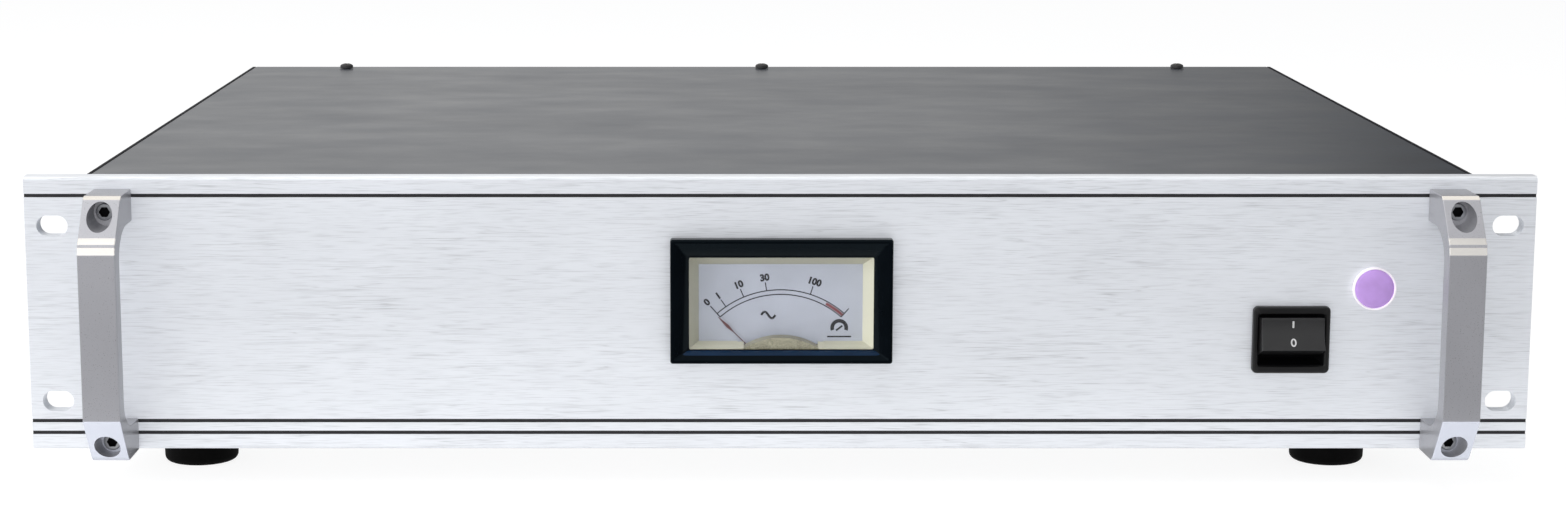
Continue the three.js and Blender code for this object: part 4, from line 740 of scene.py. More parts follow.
def handle(side):
    low, high = node_box(side + "_handle")
    z = middle_of(side + "_handle")[2]
    profile = handle_outline(high.y - low.y, (high.z - low.z) / 2)
    bm = bmesh.new()
    prism(bm, [(high.y - o, z + rise) for o, rise in profile], low.x, high.x, "X")
    obj = raw_object(side + "_handle_bar", bm, HANDLE)
    soften(obj, HANDLE_SOFTNESS, HANDLE_SHARP_ANGLE)
    tools = bmesh.new()
    for name, screw_x, screw_z in handle_screw_places():
        place, level = name.split("_")
        if place == side:
            *halves, rise = COUNTERBORES[level]
            rim = oval(*halves, screw_x, screw_z + rise, COUNTERBORE_SIDES)
            floor = high.y - COUNTERBORE_FLOOR
            prism(tools, rim, low.y - OVER, floor)
            prism(tools, circle(SCREW_HOLE, screw_x, screw_z), floor - OVER, high.y + OVER)
    carve(obj, tools)
    # Painted highlight on the front faces of the upper end bevel, the ledge and the grip's upper edge
    highlight_spans = [(high.z - end, high.z - start) for start, end in HIGHLIGHT_BANDS]
    # Painted reflection of the floor on the front faces of the handle's lower end
    floor_reflection_span = [(low.z, low.z + FLOOR_REFLECTION_HEIGHT)]
    for surface, spans in ((HANDLE_HIGHLIGHT, highlight_spans), (HANDLE_FLOOR_REFLECTION, floor_reflection_span)):
        retouch(
            obj,
            surface,
            lambda c, n: n.y < FRONTWARD and any(start < c.z < end for start, end in spans),
        )
    dress(obj, side + "_handle")


for side in SIDES:
    handle(side)

SOCKET_HEAD_LENGTH = 3.0
SOCKET_ACROSS = 3.1
SOCKET_DEPTH = 1.6
SCREW_SHANK = 1.5
HEAD_RIM = 0.35


def handle_screw(name, x, z):
    """A socket-head screw with a rounded rim and a six-sided socket."""
    low, high = node_box("handle_screw_" + name)
    radius = (high.x - low.x) / 2
    top, seat = low.y, low.y + SOCKET_HEAD_LENGTH
    corner = radius - HEAD_RIM
    rim = [(corner + o, top + HEAD_RIM - d) for o, d in arc(HEAD_RIM, 90, 0, count=5)]
    profile = [(0, top), *rim, (radius, seat), (SCREW_SHANK, seat), (SCREW_SHANK, high.y)]
    bm = bmesh.new()
    lathe(bm, [*profile, (0, high.y)], x, z)
    tools = bmesh.new()
    across = SOCKET_ACROSS / sqrt(3)
    prism(tools, circle(across, x, z, 6), top - OVER, top + SOCKET_DEPTH)
    # The socket's walls and floor are lined with painted shade
    make("socket_screw_" + name, bm, STEEL, "handle_screw_" + name, tools=tools, lining=SHADE_LINING)


for place in handle_screw_places():
    handle_screw(*place)


# Power meter

BEZEL_LOW, BEZEL_HIGH = node_box("meter_bezel")
BEZEL_MIDDLE = 61.1
BEZEL_HEIGHT = 40.4
BEZEL_RIM = 1.2
BEZEL_CORNER = 0.8
BEZEL_EDGE = ((0, 0.8, 0.45), (-0.25, 0.8, 0.12), (-0.8, 0.7, 0), (-2 * BEZEL_RIM, 0.6, 0))
GLASS_FRONT = -1.2
GLASS_GAP = 0.01
FUNNEL_INSET = 0.3
FUNNEL_DROP = 0.1
FUNNEL_CORNERS = (0.6, 0.5)
FUNNEL_BULGE = 0.45
FUNNEL_STEPS = 6
COLLAR_CORNERS = (0.5, 0.8)


def ring(width, height, corner, y, x, z):
    """A rounded rectangle about (x, z) that faces forward at a depth."""
    return [(u, y, v) for u, v in rounded(width, height, corner, x, z)]


def edge_rings(width, height, edge, front, x, z):
    """Rings (wider by, corner, behind the front by) of an edge."""
    return [ring(width + more, height + more, corner, front + y, x, z) for more, corner, y in edge]


def meter_bezel():
    """A glossy frame: a rim, a funnel to the window and a collar through the panel."""
    width, height, front = BEZEL_HIGH.x - BEZEL_LOW.x, BEZEL_HEIGHT, BEZEL_LOW.y
    rings = [ring(width, height, BEZEL_CORNER, -GAP, METER_X, BEZEL_MIDDLE)]
    rings += edge_rings(width, height, BEZEL_EDGE, front, METER_X, BEZEL_MIDDLE)
    less = 2 * BEZEL_RIM + FUNNEL_INSET
    open_w, open_h = WINDOW_SIZE.x - 2 * WINDOW_LAP, WINDOW_SIZE.z - 2 * WINDOW_LAP
    for i in range(FUNNEL_STEPS + 1):
        t = i / FUNNEL_STEPS
        sizes = between(width - less, open_w, t), between(height - less, open_h, t)
        y = between(front + FUNNEL_DROP, GLASS_FRONT, t) - FUNNEL_BULGE * sin(pi * t)
        z = between(BEZEL_MIDDLE, WINDOW_MIDDLE, t)
        rings.append(ring(*sizes, between(*FUNNEL_CORNERS, t), y, METER_X, z))
    lap = 2 * (WINDOW_LAP + GAP)
    collar = lap + 2 * COLLAR_WALL
    walls = ((lap, (GLASS_FRONT + GLASS_GAP, PANEL_THICK)), (collar, (PANEL_THICK, -GAP)))
    for (more, ends), corner in zip(walls, COLLAR_CORNERS):
        size = (open_w + more, open_h + more)
        rings += [ring(*size, corner, y, METER_X, WINDOW_MIDDLE) for y in ends]
    bm = bmesh.new()
    loft(bm, rings, closed=True)
    make("meter_frame", bm, GLOSS, "meter_bezel")


meter_bezel()

SILL_HALF = 33.6
SILL_ENDS = 3.4
SILL_BULGE = 0.75
SILL_OUTER = Vector((METER_X, -3.3, 42.1))
SILL_INNER = Vector((METER_X, -1.35, 45.0))
SILL_ROOT = 0.4
SILL_THINNEST = 0.02
SILL_END_SHARE = 0.35
SILL_HALF_SLICES = 14
SILL_STEPS = 8


def meter_sill():
    """The rounded lower lip of the frame, narrowing at both ends; its blue is a painted reflection."""
    across = SILL_INNER - SILL_OUTER
    out = Vector((0, -across.z, across.y)).normalized()
    rings = []
    for i in range(2 * SILL_HALF_SLICES + 1):
        x = SILL_HALF * sin(radians(90 * (i / SILL_HALF_SLICES - 1)))
        end = max(0.0, 1 - (SILL_HALF - abs(x)) / SILL_ENDS)
        size = max(SILL_THINNEST, sqrt(1 - end**2))
        reach = across * between(SILL_END_SHARE, 1, size)
        points = []
        for k in range(SILL_STEPS + 1):
            t = k / SILL_STEPS
            lift = SILL_BULGE * size * sin(pi * t)
            points.append(SILL_OUTER + Vector((x, 0, 0)) + reach * t + out * lift)
        root = (METER_X + x, SILL_INNER.y - SILL_ROOT, SILL_OUTER.z - SILL_ROOT)
        rings.append([*points, root])
    bm = bmesh.new()
    loft(bm, rings)
    make("meter_sill", bm, SILL_BLUE_REFLECTION)


meter_sill()

PANE_CORNER = 0.5


def meter_pane():
    outline = rounded(WINDOW_SIZE.x, WINDOW_SIZE.z, PANE_CORNER, METER_X, WINDOW_MIDDLE)
    bm = bmesh.new()
    prism(bm, outline, WINDOW_LOW.y, WINDOW_HIGH.y)
    make("meter_pane", bm, PANE, "meter_window")


meter_pane()

ARCH_LOW, ARCH_HIGH = node_box("meter_movement_cover")
ARCH_RADIUS = 22.9
ARCH_SOFTNESS = 0.35
ARCH_STEPS = 40


def half_moon():
    """The movement's cover, a low arch over the window's lower edge."""
    half = (ARCH_HIGH.x - ARCH_LOW.x) / 2
    spread = degrees(asin(half / ARCH_RADIUS))
    centre = ARCH_HIGH.z - ARCH_RADIUS
    outline = arc(ARCH_RADIUS, 90 + spread, 90 - spread, METER_X, centre, ARCH_STEPS)
    outline += [(METER_X + half, ARCH_LOW.z), (METER_X - half, ARCH_LOW.z)]
    bm = bmesh.new()
    prism(bm, outline, ARCH_LOW.y, ARCH_HIGH.y)
    make("movement_arch", bm, OLIVE, "meter_movement_cover", edge=ARCH_SOFTNESS)


half_moon()

LIP_REACH = 1.7
LIP_LAP = 0.3
LIP_FRONT = (1.45, 45.25)
LIP_BACK = (7.0, 46.2)


def tray_lips():
    """The tray's lower wall carried on to the arch, in front of the needle's path."""
    bm = bmesh.new()
    for end, side in ((ARCH_LOW.x, -1), (ARCH_HIGH.x, 1)):
        outer, inner = end + side * LIP_LAP, end - side * LIP_REACH
        rings = []
        for y, top in (LIP_FRONT, LIP_BACK):
            rings.append([(x, y, z) for x, z in rectangle(outer, ARCH_LOW.z, inner, top)])
        loft(bm, rings)
    make("meter_tray_lips", bm, CARD)


tray_lips()

SCALE_CENTRE = Vector((METER_X, 0, 31.9))
SCALE_OUTER = 31.0
SCALE_INNER = 29.5
SCALE_END = 41.6
LINE = 0.34
PRINT = 0.04
PRINT_ROOT = 0.2
RED_SPAN = (29.0, 41.3)
TICKS = ((-41.6, "0"), (-34.9, "1"), (-22.7, "10"), (-8.5, "30"), (18.0, "100"))
TICK_LENGTH = 2.8
ZERO_TICK_LENGTH = 3.3
END_TICK_LENGTH = 2.2
DIGIT_RISE = 4.3
ZERO_RISE = 4.9
DIGIT_SIZE = 3.0
DIGIT_BOLD = 0.16
WAVE_PLACE = Vector((METER_X - 4.0, 0, 54.6))
WAVE = (4.6, 2.2, 0.75)
WAVE_STEPS = 20
COIL_PLACE = Vector((METER_X + 19.0, 0, 50.4))
COIL_BOW = (1.7, 2.9, -110, 110)
COIL_STROKES = (((-1.0, -0.9), (1.0, 0.7), 0.6), ((-3.9, -2.9), (3.9, -2.9), 0.5))


def placed(outline, centre):
    return [(centre.x + x, centre.z + z) for x, z in outline]


def on_dial(bm, outline, centre=SCALE_CENTRE):
    prism(bm, placed(outline, centre), DIAL_FACE - PRINT, DIAL_FACE + PRINT_ROOT)


def polar(radius, angle):
    """A point at a radius and an angle clockwise from upright."""
    return radius * sin(radians(angle)), radius * cos(radians(angle))


def band(inner, outer, start, end, steps=36):
    angles = [start + (end - start) * i / steps for i in range(steps + 1)]
    return [polar(outer, a) for a in angles] + [polar(inner, a) for a in angles[::-1]]


def stroke(start, end, width):
    """A straight printed line between two points."""
    a, b = Vector(start), Vector(end)
    side = Vector((a.y - b.y, b.x - a.x)).normalized() * width / 2
    return [tuple(p) for p in (a - side, b - side, b + side, a + side)]


def digits(text, radius, angle):
    """Plain numbers as a flat mesh, turned to stand on the scale."""
    font = bpy.data.curves.new("digits_" + text, "FONT")
    tuned(font, body=text, size=DIGIT_SIZE * MM, extrude=PRINT * MM, offset=DIGIT_BOLD * MM)
    tuned(font, align_x="CENTER", align_y="CENTER")
    writing = put_in_scene("digits_" + text, font)
    mesh = evaluated_mesh(writing)
    bpy.data.objects.remove(writing)
    (x, z), = placed([polar(radius, angle)], SCALE_CENTRE)
    spot = (Vector((x, DIAL_FACE, z)) + ORIGIN) * MM
    tilt = Matrix.Rotation(radians(angle), 4, "Y") @ Matrix.Rotation(pi / 2, 4, "X")
    mesh.transform(Matrix.Translation(spot) @ tilt)
    mesh.materials.clear()
    mesh.materials.append(INK)
    dress(put_in_scene("dial_digits_" + text, mesh))


def dial_print():
    bm = bmesh.new()
    for radius in (SCALE_OUTER, SCALE_INNER):
        on_dial(bm, band(radius - LINE / 2, radius + LINE / 2, -SCALE_END, SCALE_END))
    ticks = [(SCALE_OUTER, TICK_LENGTH, angle) for angle, _ in TICKS]
    ticks[0] = (SCALE_INNER, ZERO_TICK_LENGTH, TICKS[0][0])
    for start, length, angle in [*ticks, (SCALE_INNER, END_TICK_LENGTH, SCALE_END)]:
        on_dial(bm, stroke(polar(start, angle), polar(SCALE_OUTER + length, angle), LINE))
    wide, tall, thick = WAVE
    shares = [i / WAVE_STEPS for i in range(WAVE_STEPS + 1)]
    crest = [(wide * (t - 0.5), tall / 2 * sin(2 * pi * t)) for t in shares]
    for start, end in zip(crest, crest[1:]):
        on_dial(bm, stroke(start, end, thick), WAVE_PLACE)
    on_dial(bm, band(*COIL_BOW, steps=16), COIL_PLACE)
    for start, end, width in COIL_STROKES:
        on_dial(bm, stroke(start, end, width), COIL_PLACE)
    make("dial_scale", bm, INK)
    bm = bmesh.new()
    on_dial(bm, band(SCALE_INNER + LINE, SCALE_OUTER - LINE, *RED_SPAN, steps=12))
    make("dial_red_zone", bm, RED_INK)
    for angle, text in TICKS:
        digits(text, SCALE_OUTER + (ZERO_RISE if text == "0" else DIGIT_RISE), angle)


dial_print()

PIVOT = Vector((METER_X, 0, 34.3))
NEEDLE_REST = 45.5
NEEDLE_PLANE = (7.3, 7.7)
NEEDLE_HALVES = ((0.2, -6), (0.13, 21.3), (0.5, 24.0), (0.2, 27.0), (0.1, 28.3))
HUB = (2.6, 7.3, 8.5)
SPINDLE = (0.8, 8.4)
SPINDLE_SIDES = 24


def meter_needle():
    """A thin pointer with a slim spear near its tip, a hub and a spindle."""
    right = list(NEEDLE_HALVES)
    outline = right + [(-half, radius) for half, radius in right[::-1]]
    bm = bmesh.new()
    prism(bm, placed(outline, PIVOT), *NEEDLE_PLANE)
    turn(bm, -NEEDLE_REST, PIVOT, "Y")
    rod(bm, *HUB, PIVOT.x, PIVOT.z)
    end = node_box("meter_needle")[1].y
    rod(bm, *SPINDLE, end, PIVOT.x, PIVOT.z, SPINDLE_SIDES)
    make("needle_pointer", bm, NEEDLE, "meter_needle", "needle")


meter_needle()


# Mains switch

SWITCH_BEZEL = (24.8, 21.8)
SWITCH_FRONT = -2.3
SWITCH_CAVITY = 10.8
SWITCH_END = node_box("switch_body")[1].y
SWITCH_INNER_EDGE = ((0, 0.4, 0.9), (0.5, 0.6, 0.3), (1.3, 0.8, 0))
SWITCH_OUTER_EDGE = ((-1.3, 1.2, 0), (-0.4, 1.5, 0.3), (0, 1.6, 0.9))
SWITCH_CORNERS = (0.4, 1.6, 0.6)
SHADE_LINING_DEPTH = 0.5
TERMINAL_LENGTH = 8.0
TERMINAL_ROOT = 0.5
TERMINAL_PLACE = 4.5
TERMINAL_HALVES = (0.4, 3.15)
SLACK = 0.1


def switch_housing():
    """One skin from the cavity's floor out over the bezel to the rear."""
    body = [size + 2 * SWITCH_WALL for size in SWITCH_OPENING]
    rear = SWITCH_END - TERMINAL_LENGTH
    cavity, bezel, tail = SWITCH_CORNERS
    place = (SWITCH_X, SWITCH_Z)
    rings = [ring(*SWITCH_OPENING, cavity, SWITCH_CAVITY, *place)]
    rings += edge_rings(*SWITCH_OPENING, SWITCH_INNER_EDGE, SWITCH_FRONT, *place)
    rings += edge_rings(*SWITCH_BEZEL, SWITCH_OUTER_EDGE, SWITCH_FRONT, *place)
    rings.append(ring(*SWITCH_BEZEL, bezel, -GAP, *place))
    rings += [ring(*body, tail, y, *place) for y in (-GAP, rear)]
    bm = bmesh.new()
    loft(bm, rings)
    half_w, half_h = TERMINAL_HALVES
    for row in (-TERMINAL_PLACE, TERMINAL_PLACE):
        for column in (-TERMINAL_PLACE, TERMINAL_PLACE):
            x, z = SWITCH_X + column, SWITCH_Z + row
            low = (x - half_w, rear - TERMINAL_ROOT, z - half_h)
            block(bm, low, (x + half_w, SWITCH_END, z + half_h))
    obj = raw_object("switch_housing", bm, BEZEL_PLASTIC)
    reach_x, reach_z = (size / 2 + SLACK for size in SWITCH_OPENING)
    # Painted shade on the cavity's walls and floor
    retouch(
        obj,
        SHADE_LINING,
        lambda c, n: SWITCH_FRONT + SHADE_LINING_DEPTH < c.y < SWITCH_CAVITY + SLACK
        and abs(c.x - SWITCH_X) < reach_x
        and abs(c.z - SWITCH_Z) < reach_z,
    )
    dress(obj, "switch_body")


switch_housing()

ROCKER_PIVOT = Vector((SWITCH_X, 4.0, SWITCH_Z))
ROCKER_REST = 15.0
ROCKER_FACE = (10.0, 5.3)
ROCKER_SHOULDER = (1.0, 6.2)
ROCKER_HEEL = (4.5, 4.6)
ROCKER_DISH = 0.9
ROCKER_STEPS = 14
ROCKER_SOFTNESS = 0.35
DOWNWARD = -0.45
MARK_PROUD = 0.05
MARK_ROOT = 0.3
ON_SIZE = (0.62, 2.2)
ON_CORNER = 0.25
ON_RISE = 3.2
OFF_HALVES = ((0.92, 1.35), (0.45, 0.85))
OFF_RISE = -2.6


def rocker_depth(z):
    """How far the dished face stands out at a height on it."""
    reach, half = ROCKER_FACE
    return reach - ROCKER_DISH * (1 - (z / half) ** 2)


def rocker():
    half = ROCKER_FACE[1]
    face = [half - 2 * half * i / ROCKER_STEPS for i in range(ROCKER_STEPS + 1)]
    shoulder, wide = ROCKER_SHOULDER
    heel, narrow = ROCKER_HEEL
    outline = [(-rocker_depth(z), z) for z in face]
    outline += [(-shoulder, -wide), (heel, -narrow), (heel, narrow), (-shoulder, wide)]
    half_width = SWITCH_OPENING[0] / 2 - GAP
    profile = [(ROCKER_PIVOT.y + y, ROCKER_PIVOT.z + z) for y, z in outline]
    bm = bmesh.new()
    prism(bm, profile, SWITCH_X - half_width, SWITCH_X + half_width, "X")
    turn(bm, -ROCKER_REST, ROCKER_PIVOT, "X")
    obj = raw_object("rocker_paddle", bm, PLASTIC)
    soften(obj, ROCKER_SOFTNESS)
    # Painted shade on the rocker's downward faces
    retouch(obj, SHADE_LINING, lambda c, n: n.z < DOWNWARD)
    dress(obj, "power_rocker", "rocker")


rocker()


def on_rocker(outline, lift):
    """An outline laid on the rocker's dished face, and lifted from it."""
    pivot = ROCKER_PIVOT
    return [(pivot.x + x, pivot.y - rocker_depth(z) - lift, pivot.z + z) for x, z in outline]


def rocker_mark(name, *outlines):
    """A mark printed on the rocker. A second outline is the hole in it."""
    proud = [on_rocker(outline, MARK_PROUD) for outline in outlines]
    sunk = [on_rocker(outline, -MARK_ROOT) for outline in outlines]
    bm = bmesh.new()
    loft(bm, [*proud, *sunk[::-1]], closed=len(outlines) > 1)
    turn(bm, -ROCKER_REST, ROCKER_PIVOT, "X")
    make(name, bm, MARK, body="rocker")


rocker_mark("mark_on", rounded(*ON_SIZE, ON_CORNER, 0, ON_RISE))
rocker_mark("mark_off", *(oval(*halves, 0, OFF_RISE) for halves in OFF_HALVES))


# Pilot lamp

LAMP_END = node_box("lamp_body")[1].y
LAMP_RING = 6.95
LAMP_RING_WALL = 0.6
LAMP_FRONT = -1.8
LAMP_POCKET = 1.1
LAMP_INNER_EDGE = 0.12
LAMP_OUTER_EDGE = ((0.25, 0), (0.06, 0.1), (0, 0.35))
LAMP_TAIL = 4.0
LAMP_PIN_PLACE = 2.5
LAMP_PIN = (0.8, 5.0)
LAMP_PIN_SIDES = 16
LAMP_SIDES = 72
DOME_SHARE = 0.65


def pilot_lamp():
    inner = LAMP_RING - LAMP_RING_WALL
    floor, rear = LAMP_FRONT + LAMP_POCKET, LAMP_END - LAMP_TAIL
    profile = [(0, floor), (inner, floor)]
    profile += [(inner, LAMP_FRONT + LAMP_INNER_EDGE), (inner + LAMP_INNER_EDGE, LAMP_FRONT)]
    profile += [(LAMP_RING - less, LAMP_FRONT + depth) for less, depth in LAMP_OUTER_EDGE]
    profile += [(LAMP_RING, -GAP), (LAMP_BARREL, -GAP), (LAMP_BARREL, rear), (0, rear)]
    bm = bmesh.new()
    lathe(bm, profile, LAMP_X, LAMP_Z, sides=LAMP_SIDES)
    radius, length = LAMP_PIN
    for x in (LAMP_X - LAMP_PIN_PLACE, LAMP_X + LAMP_PIN_PLACE):
        rod(bm, radius, LAMP_END - length, LAMP_END, x, LAMP_Z, LAMP_PIN_SIDES)
    make("lamp_ring", bm, WHITE, "lamp_body")
    low, high = node_box("lamp_lens")
    radius = inner - GAP / 2
    dome = crown(radius, low.y, DOME_SHARE * (high.y - low.y))
    bm = bmesh.new()
    lathe(bm, [*dome, (radius, high.y), (0, high.y)], LAMP_X, LAMP_Z, sides=LAMP_SIDES)
    make("lamp_glow", bm, LENS, "lamp_lens")


pilot_lamp()


# Case

SHEET = 1.2
BEND = 2.0
COVER_LOW, COVER_HIGH = node_box("top_cover")
COVER_SOFTNESS = 0.18
SHEET_SCREW_HOLE = 1.8
HOLE_SIDES = 24
EDGE_LINE = 1.3
EDGE_SIDE = 0.1
EDGE_DEPTH = 0.4
EDGE_PROUD = 0.02


def cover_outline():
    """A sheet folded down at both sides, with round bends."""
    half, low = COVER_HIGH.x, COVER_LOW.z
    bend = (half - BEND, COVER_HIGH.z - BEND)
    right = [*arc(BEND, 90, 0, *bend), (half, low), (half - SHEET, low)]
    right += arc(BEND - SHEET, 0, 90, *bend)
    return right + [(-x, z) for x, z in right[::-1]]


def top_cover():
    """The cover with its screw holes, and strips of painted shade along its two bends."""
    low, high = COVER_LOW, COVER_HIGH
    bm, tools = bmesh.new(), bmesh.new()
    prism(bm, cover_outline(), low.y, high.y)
    for name in ("left", "middle", "right"):
        x, y, _ = middle_of("cover_screw_rear_" + name)
        hole = circle(SHEET_SCREW_HOLE, x, y, HOLE_SIDES)
        prism(tools, hole, high.z - SHEET - OVER, high.z + OVER, "Z")
    _, y, z = middle_of("cover_screw_side_left")
    hole = circle(SHEET_SCREW_HOLE, y, z, HOLE_SIDES)
    prism(tools, hole, low.x - OVER, high.x + OVER, "X")
    make("cover_sheet", bm, PAINT, "top_cover", edge=COVER_SOFTNESS, tools=tools)
    # Painted shade: a dark strip along each bend
    bm = bmesh.new()
    back, bottom, top = high.y - EDGE_SIDE, high.z - EDGE_DEPTH, high.z + EDGE_PROUD
    for start in (low.x + EDGE_SIDE, high.x - EDGE_LINE):
        block(bm, (start, low.y, bottom), (start + EDGE_LINE - EDGE_SIDE, back, top))
    make("cover_bend_shade_strips", bm, BEND_SHADE)


top_cover()

HEAD_SHARE = 1.9 / 2.8
CROWN_SHARE = 0.62
SHANK_SHARE = 0.54
CROSS_ARM_SHARE = 0.55
CROSS_THIN_SHARE = 0.15
CROSS_DEEP_SHARE = 0.6
SCREW_SIDES = 32


def cross_screw(name, node, axis, outward, surface):
    """A pan-head cross screw whose head points outward, 1 or -1, on an axis."""
    low, high = node_box(node)
    index = "XYZ".index(axis)
    top, end = (high[index], low[index]) if outward > 0 else (low[index], high[index])
    u, v = (place for letter, place in zip("XYZ", (low + high) / 2) if letter != axis)
    radius = (high - low)[(index + 1) % 3] / 2
    shank = radius * SHANK_SHARE
    drop = -outward * radius * HEAD_SHARE
    head = [*crown(radius, top, drop * CROWN_SHARE), (radius, top + drop)]
    bm, tools = bmesh.new(), bmesh.new()
    lathe(bm, [*head, (shank, top + drop), (shank, end), (0, end)], u, v, axis, SCREW_SIDES)
    arm, thin = radius * CROSS_ARM_SHARE, radius * CROSS_THIN_SHARE
    floor = top + drop * CROSS_DEEP_SHARE
    for a, b in ((arm, thin), (thin, arm)):
        prism(tools, rectangle(u - a, v - b, u + a, v + b), floor, top + outward, axis)
    # The cross recess is lined with painted shade
    make(name, bm, surface, node, tools=tools, lining=SHADE_LINING)


for place in ("left", "middle", "right"):
    name = "cover_screw_rear_" + place
    cross_screw("black_" + name, name, "Z", 1, BLACK_STEEL)
for side, outward in (("left", -1), ("right", 1)):
    for name in ("cover_screw_side_" + side, "rear_panel_screw_" + side):
        cross_screw("black_" + name, name, "X", outward, BLACK_STEEL)

FOOT_HOLE = 2.3
FOOT_RECESS = (4.3, 5.0)
FOOT_RECESS_EDGE = 0.3
FOOT_TAPER = 0.3
FOOT_EDGE = 2.0
FOOT_TOP_EDGE = 0.4
FOOT_SIDES = 64


def foot(name):
    low, high = node_box("foot_" + name)
    centre = (low + high) / 2
    wide, top = (high.x - low.x) / 2, high.z
    hole, (recess, depth) = FOOT_HOLE, FOOT_RECESS
    profile = [(hole, depth), (recess, depth)]
    profile += [(recess, FOOT_RECESS_EDGE), (recess + FOOT_RECESS_EDGE, 0)]
    profile += arc(FOOT_EDGE, -90, 0, wide - FOOT_TAPER - FOOT_EDGE, FOOT_EDGE, 9)
    profile += [(wide, top - FOOT_TOP_EDGE), (wide - FOOT_TOP_EDGE, top)]
    bm = bmesh.new()
    profile += [(hole, top), (hole, depth)]
    lathe(bm, profile, centre.x, centre.y, "Z", FOOT_SIDES)
    make("rubber_foot_" + name, bm, RUBBER, "foot_" + name)
    cross_screw("foot_head_" + name, "foot_screw_" + name, "Z", -1, STEEL)


for end in ("front", "rear"):
    for side in SIDES:
        foot(f"{end}_{side}")

COPY_SOFTNESS = {
    0.15: ("chassis_tray", "rear_panel"),
    0.3: ("mains_inlet", "fan_frame_left", "fan_frame_right", "power_supply"),
    0.4: ("meter_case", "output_filter_can"),
    0.2: ("lamp_nut", "heatsink", "power_transistor_1", "power_transistor_2")
    + ("amplifier_board", "meter_driver_board"),
}
ROTOR_SOFTNESS = 0.25

for edge, nodes in COPY_SOFTNESS.items():
    for node in nodes:
        copy_node(node, node + "_shape", edge)
for side in SIDES:
    copy_node("fan_rotor_" + side, "rotor_" + side, ROTOR_SOFTNESS, side + "_fan")

for name, obj in frame["nodes"].items():
    if not obj.hide_render:
        obj.data.materials.clear()
        obj.data.materials.append(SURFACES[NODE_SLOTS[name]])


# Floor, lights and camera, in metres

FLOOR_HALF = 8.0
FLOOR_COLOR = (0.8, 0.8, 0.8)
FLOOR_GLOW = 0.8
FLOOR_SHADED = (0.3, 0.3, 0.3)
CARD_CORNERS = ((-2.5, -1.6), (2.5, -0.27))
CARD_HEIGHT = 0.002
CARD_COLOR = (0.2, 0.2, 0.21)
MATT = 0.9
LENS_FOCAL = 2925.5
PHOTO_WIDTH = 1566
PHOTO_CENTRE_X = 711.76
SENSOR = 36.0
CLIP = (0.01, 50)
PITCH = 9.546
CAMERA_PLACE = Vector((-21.81, -923.31, 216.27 + BOTTOM))
ROOM_COLOR = (0.97, 0.98, 1.0, 1)
ROOM_LIGHT = 0.5
WHITE_LIGHT = (1, 1, 1, 1)
BEHIND_ACROSS = ((-0.7, 0.85), (-0.3, 0.84), (-0.08, 0.86), (0.08, 0.72))
BEHIND_ACROSS += ((0.17, 0.48), (0.25, 0.08), (0.5, 0.03), (0.9, 0.4))
BEHIND_RISE = (0.45, 0.8)
BEHIND_HIGH = (1.0, 0.96, 0.9, 1)
BEFORE_UPWARDS = ((-1.0, 0.9), (0.1, 1.0), (0.34, 1.0), (0.6, 0.8), (0.9, 0.8), (0.98, 1.2), (1.0, 1.2))
BEFORE_ACROSS = ((-0.9, 1.46), (-0.3, 1.34), (0.0, 1.04), (0.25, 0.74), (0.9, 0.68))
BACKWARD = (-0.1, 0.3)


def flat_card(name, low, high, z, surface):
    """A level rectangle at a height, with a surface's material."""
    bm = bmesh.new()
    bm.faces.new([bm.verts.new((*corner, z)) for corner in rectangle(*low, *high)])
    card = mesh_object(name, bm, surface.material)
    return card


def stage_floor():
    """A floor that shows white but for the object's shadow."""
    s = Surface("floor_pale", FLOOR_COLOR, MATT)
    glow = s.feed(s.node("Emission"), Strength=FLOOR_GLOW)
    lit = s.feed(s.node("BsdfDiffuse"), Color=FLOOR_SHADED)
    seen = s.feed(s.node("AddShader"), glow, lit)
    s.show("Material Output", s.background_rays(), s.shader.outputs[0], seen)
    flat_card("floor", (-FLOOR_HALF, -FLOOR_HALF), (FLOOR_HALF, FLOOR_HALF), 0, s)


def grey_card():
    """A grey card on the floor before the object, seen only in its metal."""
    s = Surface("card_grey", CARD_COLOR, MATT)
    card = flat_card("grey_card", *CARD_CORNERS, CARD_HEIGHT, s)
    for ray in ("camera", "diffuse", "shadow", "transmission"):
        setattr(card, "visible_" + ray, False)


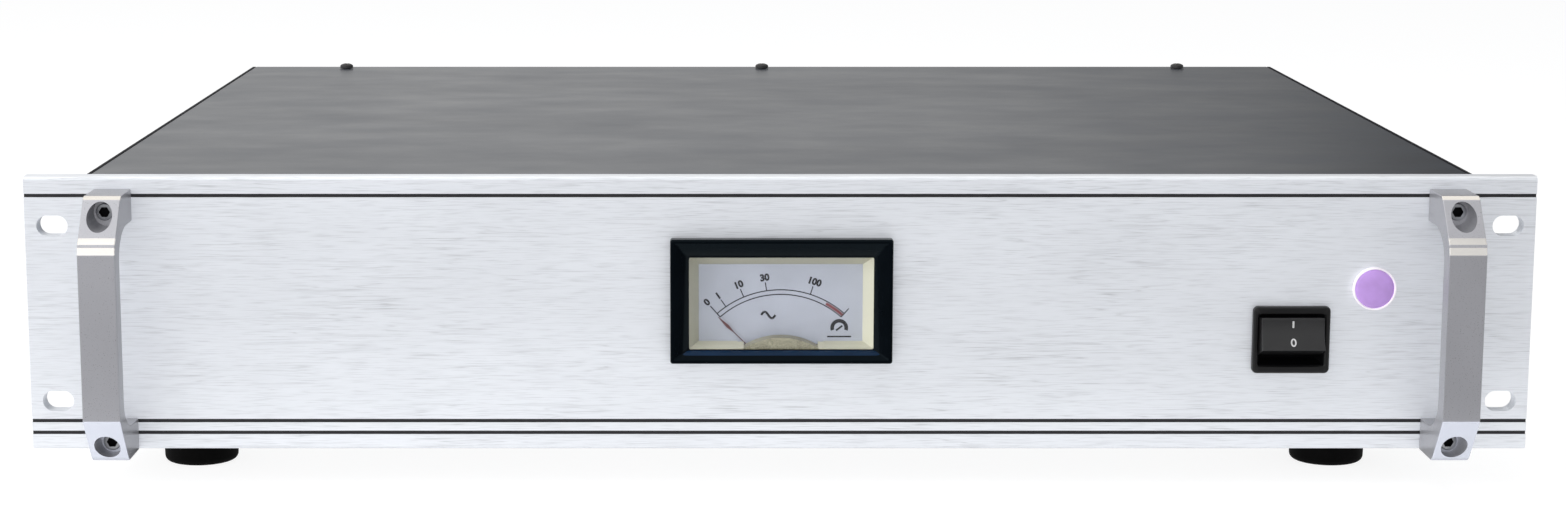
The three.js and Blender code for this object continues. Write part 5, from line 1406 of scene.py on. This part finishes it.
def world_light():
    """A white background for the camera, and a soft room whose levels show in metal."""
    world = bpy.data.worlds.new("room")
    bpy.context.scene.world = world
    world.use_nodes = True
    n = Nodes(world.node_tree)
    room = n.feed(n.tree.nodes["Background"], Color=ROOM_COLOR, Strength=ROOM_LIGHT)
    split = n.node("SeparateXYZ")
    n.feed(split, n.node("TexCoord").outputs["Generated"])
    x, y, z = split.outputs
    high = n.fit(z, *BEHIND_RISE, kind="SMOOTHSTEP")
    behind = n.mix(high, n.ramp(x, BEHIND_ACROSS), BEHIND_HIGH)
    before = n.mix(1.0, n.ramp(z, BEFORE_UPWARDS), n.ramp(x, BEFORE_ACROSS), "MULTIPLY")
    shown = n.mix(n.fit(y, *BACKWARD, kind="SMOOTHSTEP"), before, behind)
    mirrored = n.mix(n.node("LightPath").outputs["Is Glossy Ray"], WHITE_LIGHT, shown)
    white = n.feed(n.node("Background"), Color=mirrored, Strength=1.0)
    n.show("World Output", n.background_rays(), room, white)


def softbox(name, place, aim, size, power, shadow=True):
    """A rectangular area lamp that isn't mirrored in the object."""
    data = bpy.data.lights.new(name, "AREA")
    width, height = size
    tuned(data, shape="RECTANGLE", size=width, size_y=height, energy=power, use_shadow=shadow)
    lamp = put_in_scene(name, data)
    lamp.location = place
    lamp.visible_glossy = False
    lamp.rotation_euler = (Vector(aim) - Vector(place)).to_track_quat("-Z", "Y").to_euler()


def camera():
    data = bpy.data.cameras.new("camera")
    tuned(data, sensor_width=SENSOR, clip_start=CLIP[0], clip_end=CLIP[1])
    data.lens = LENS_FOCAL / PHOTO_WIDTH * SENSOR
    data.shift_x = (PHOTO_WIDTH / 2 - PHOTO_CENTRE_X) / PHOTO_WIDTH
    obj = put_in_scene("camera", data)
    obj.location = (CAMERA_PLACE + ORIGIN) * MM
    obj.rotation_euler = (radians(90 - PITCH), 0, 0)
    bpy.context.scene.camera = obj


stage_floor()
grey_card()
world_light()
softbox("overhead", place=(-0.3, -0.2, 1.6), aim=(0, 0, 0.05), size=(1.8, 1.2), power=9)
softbox("left", (-1.85, -1.45, 0.9), aim=(0, -0.1, 0.05), size=(1.6, 1.4), power=43, shadow=False)
camera()
bpy.context.scene.view_settings.view_transform = "Standard"
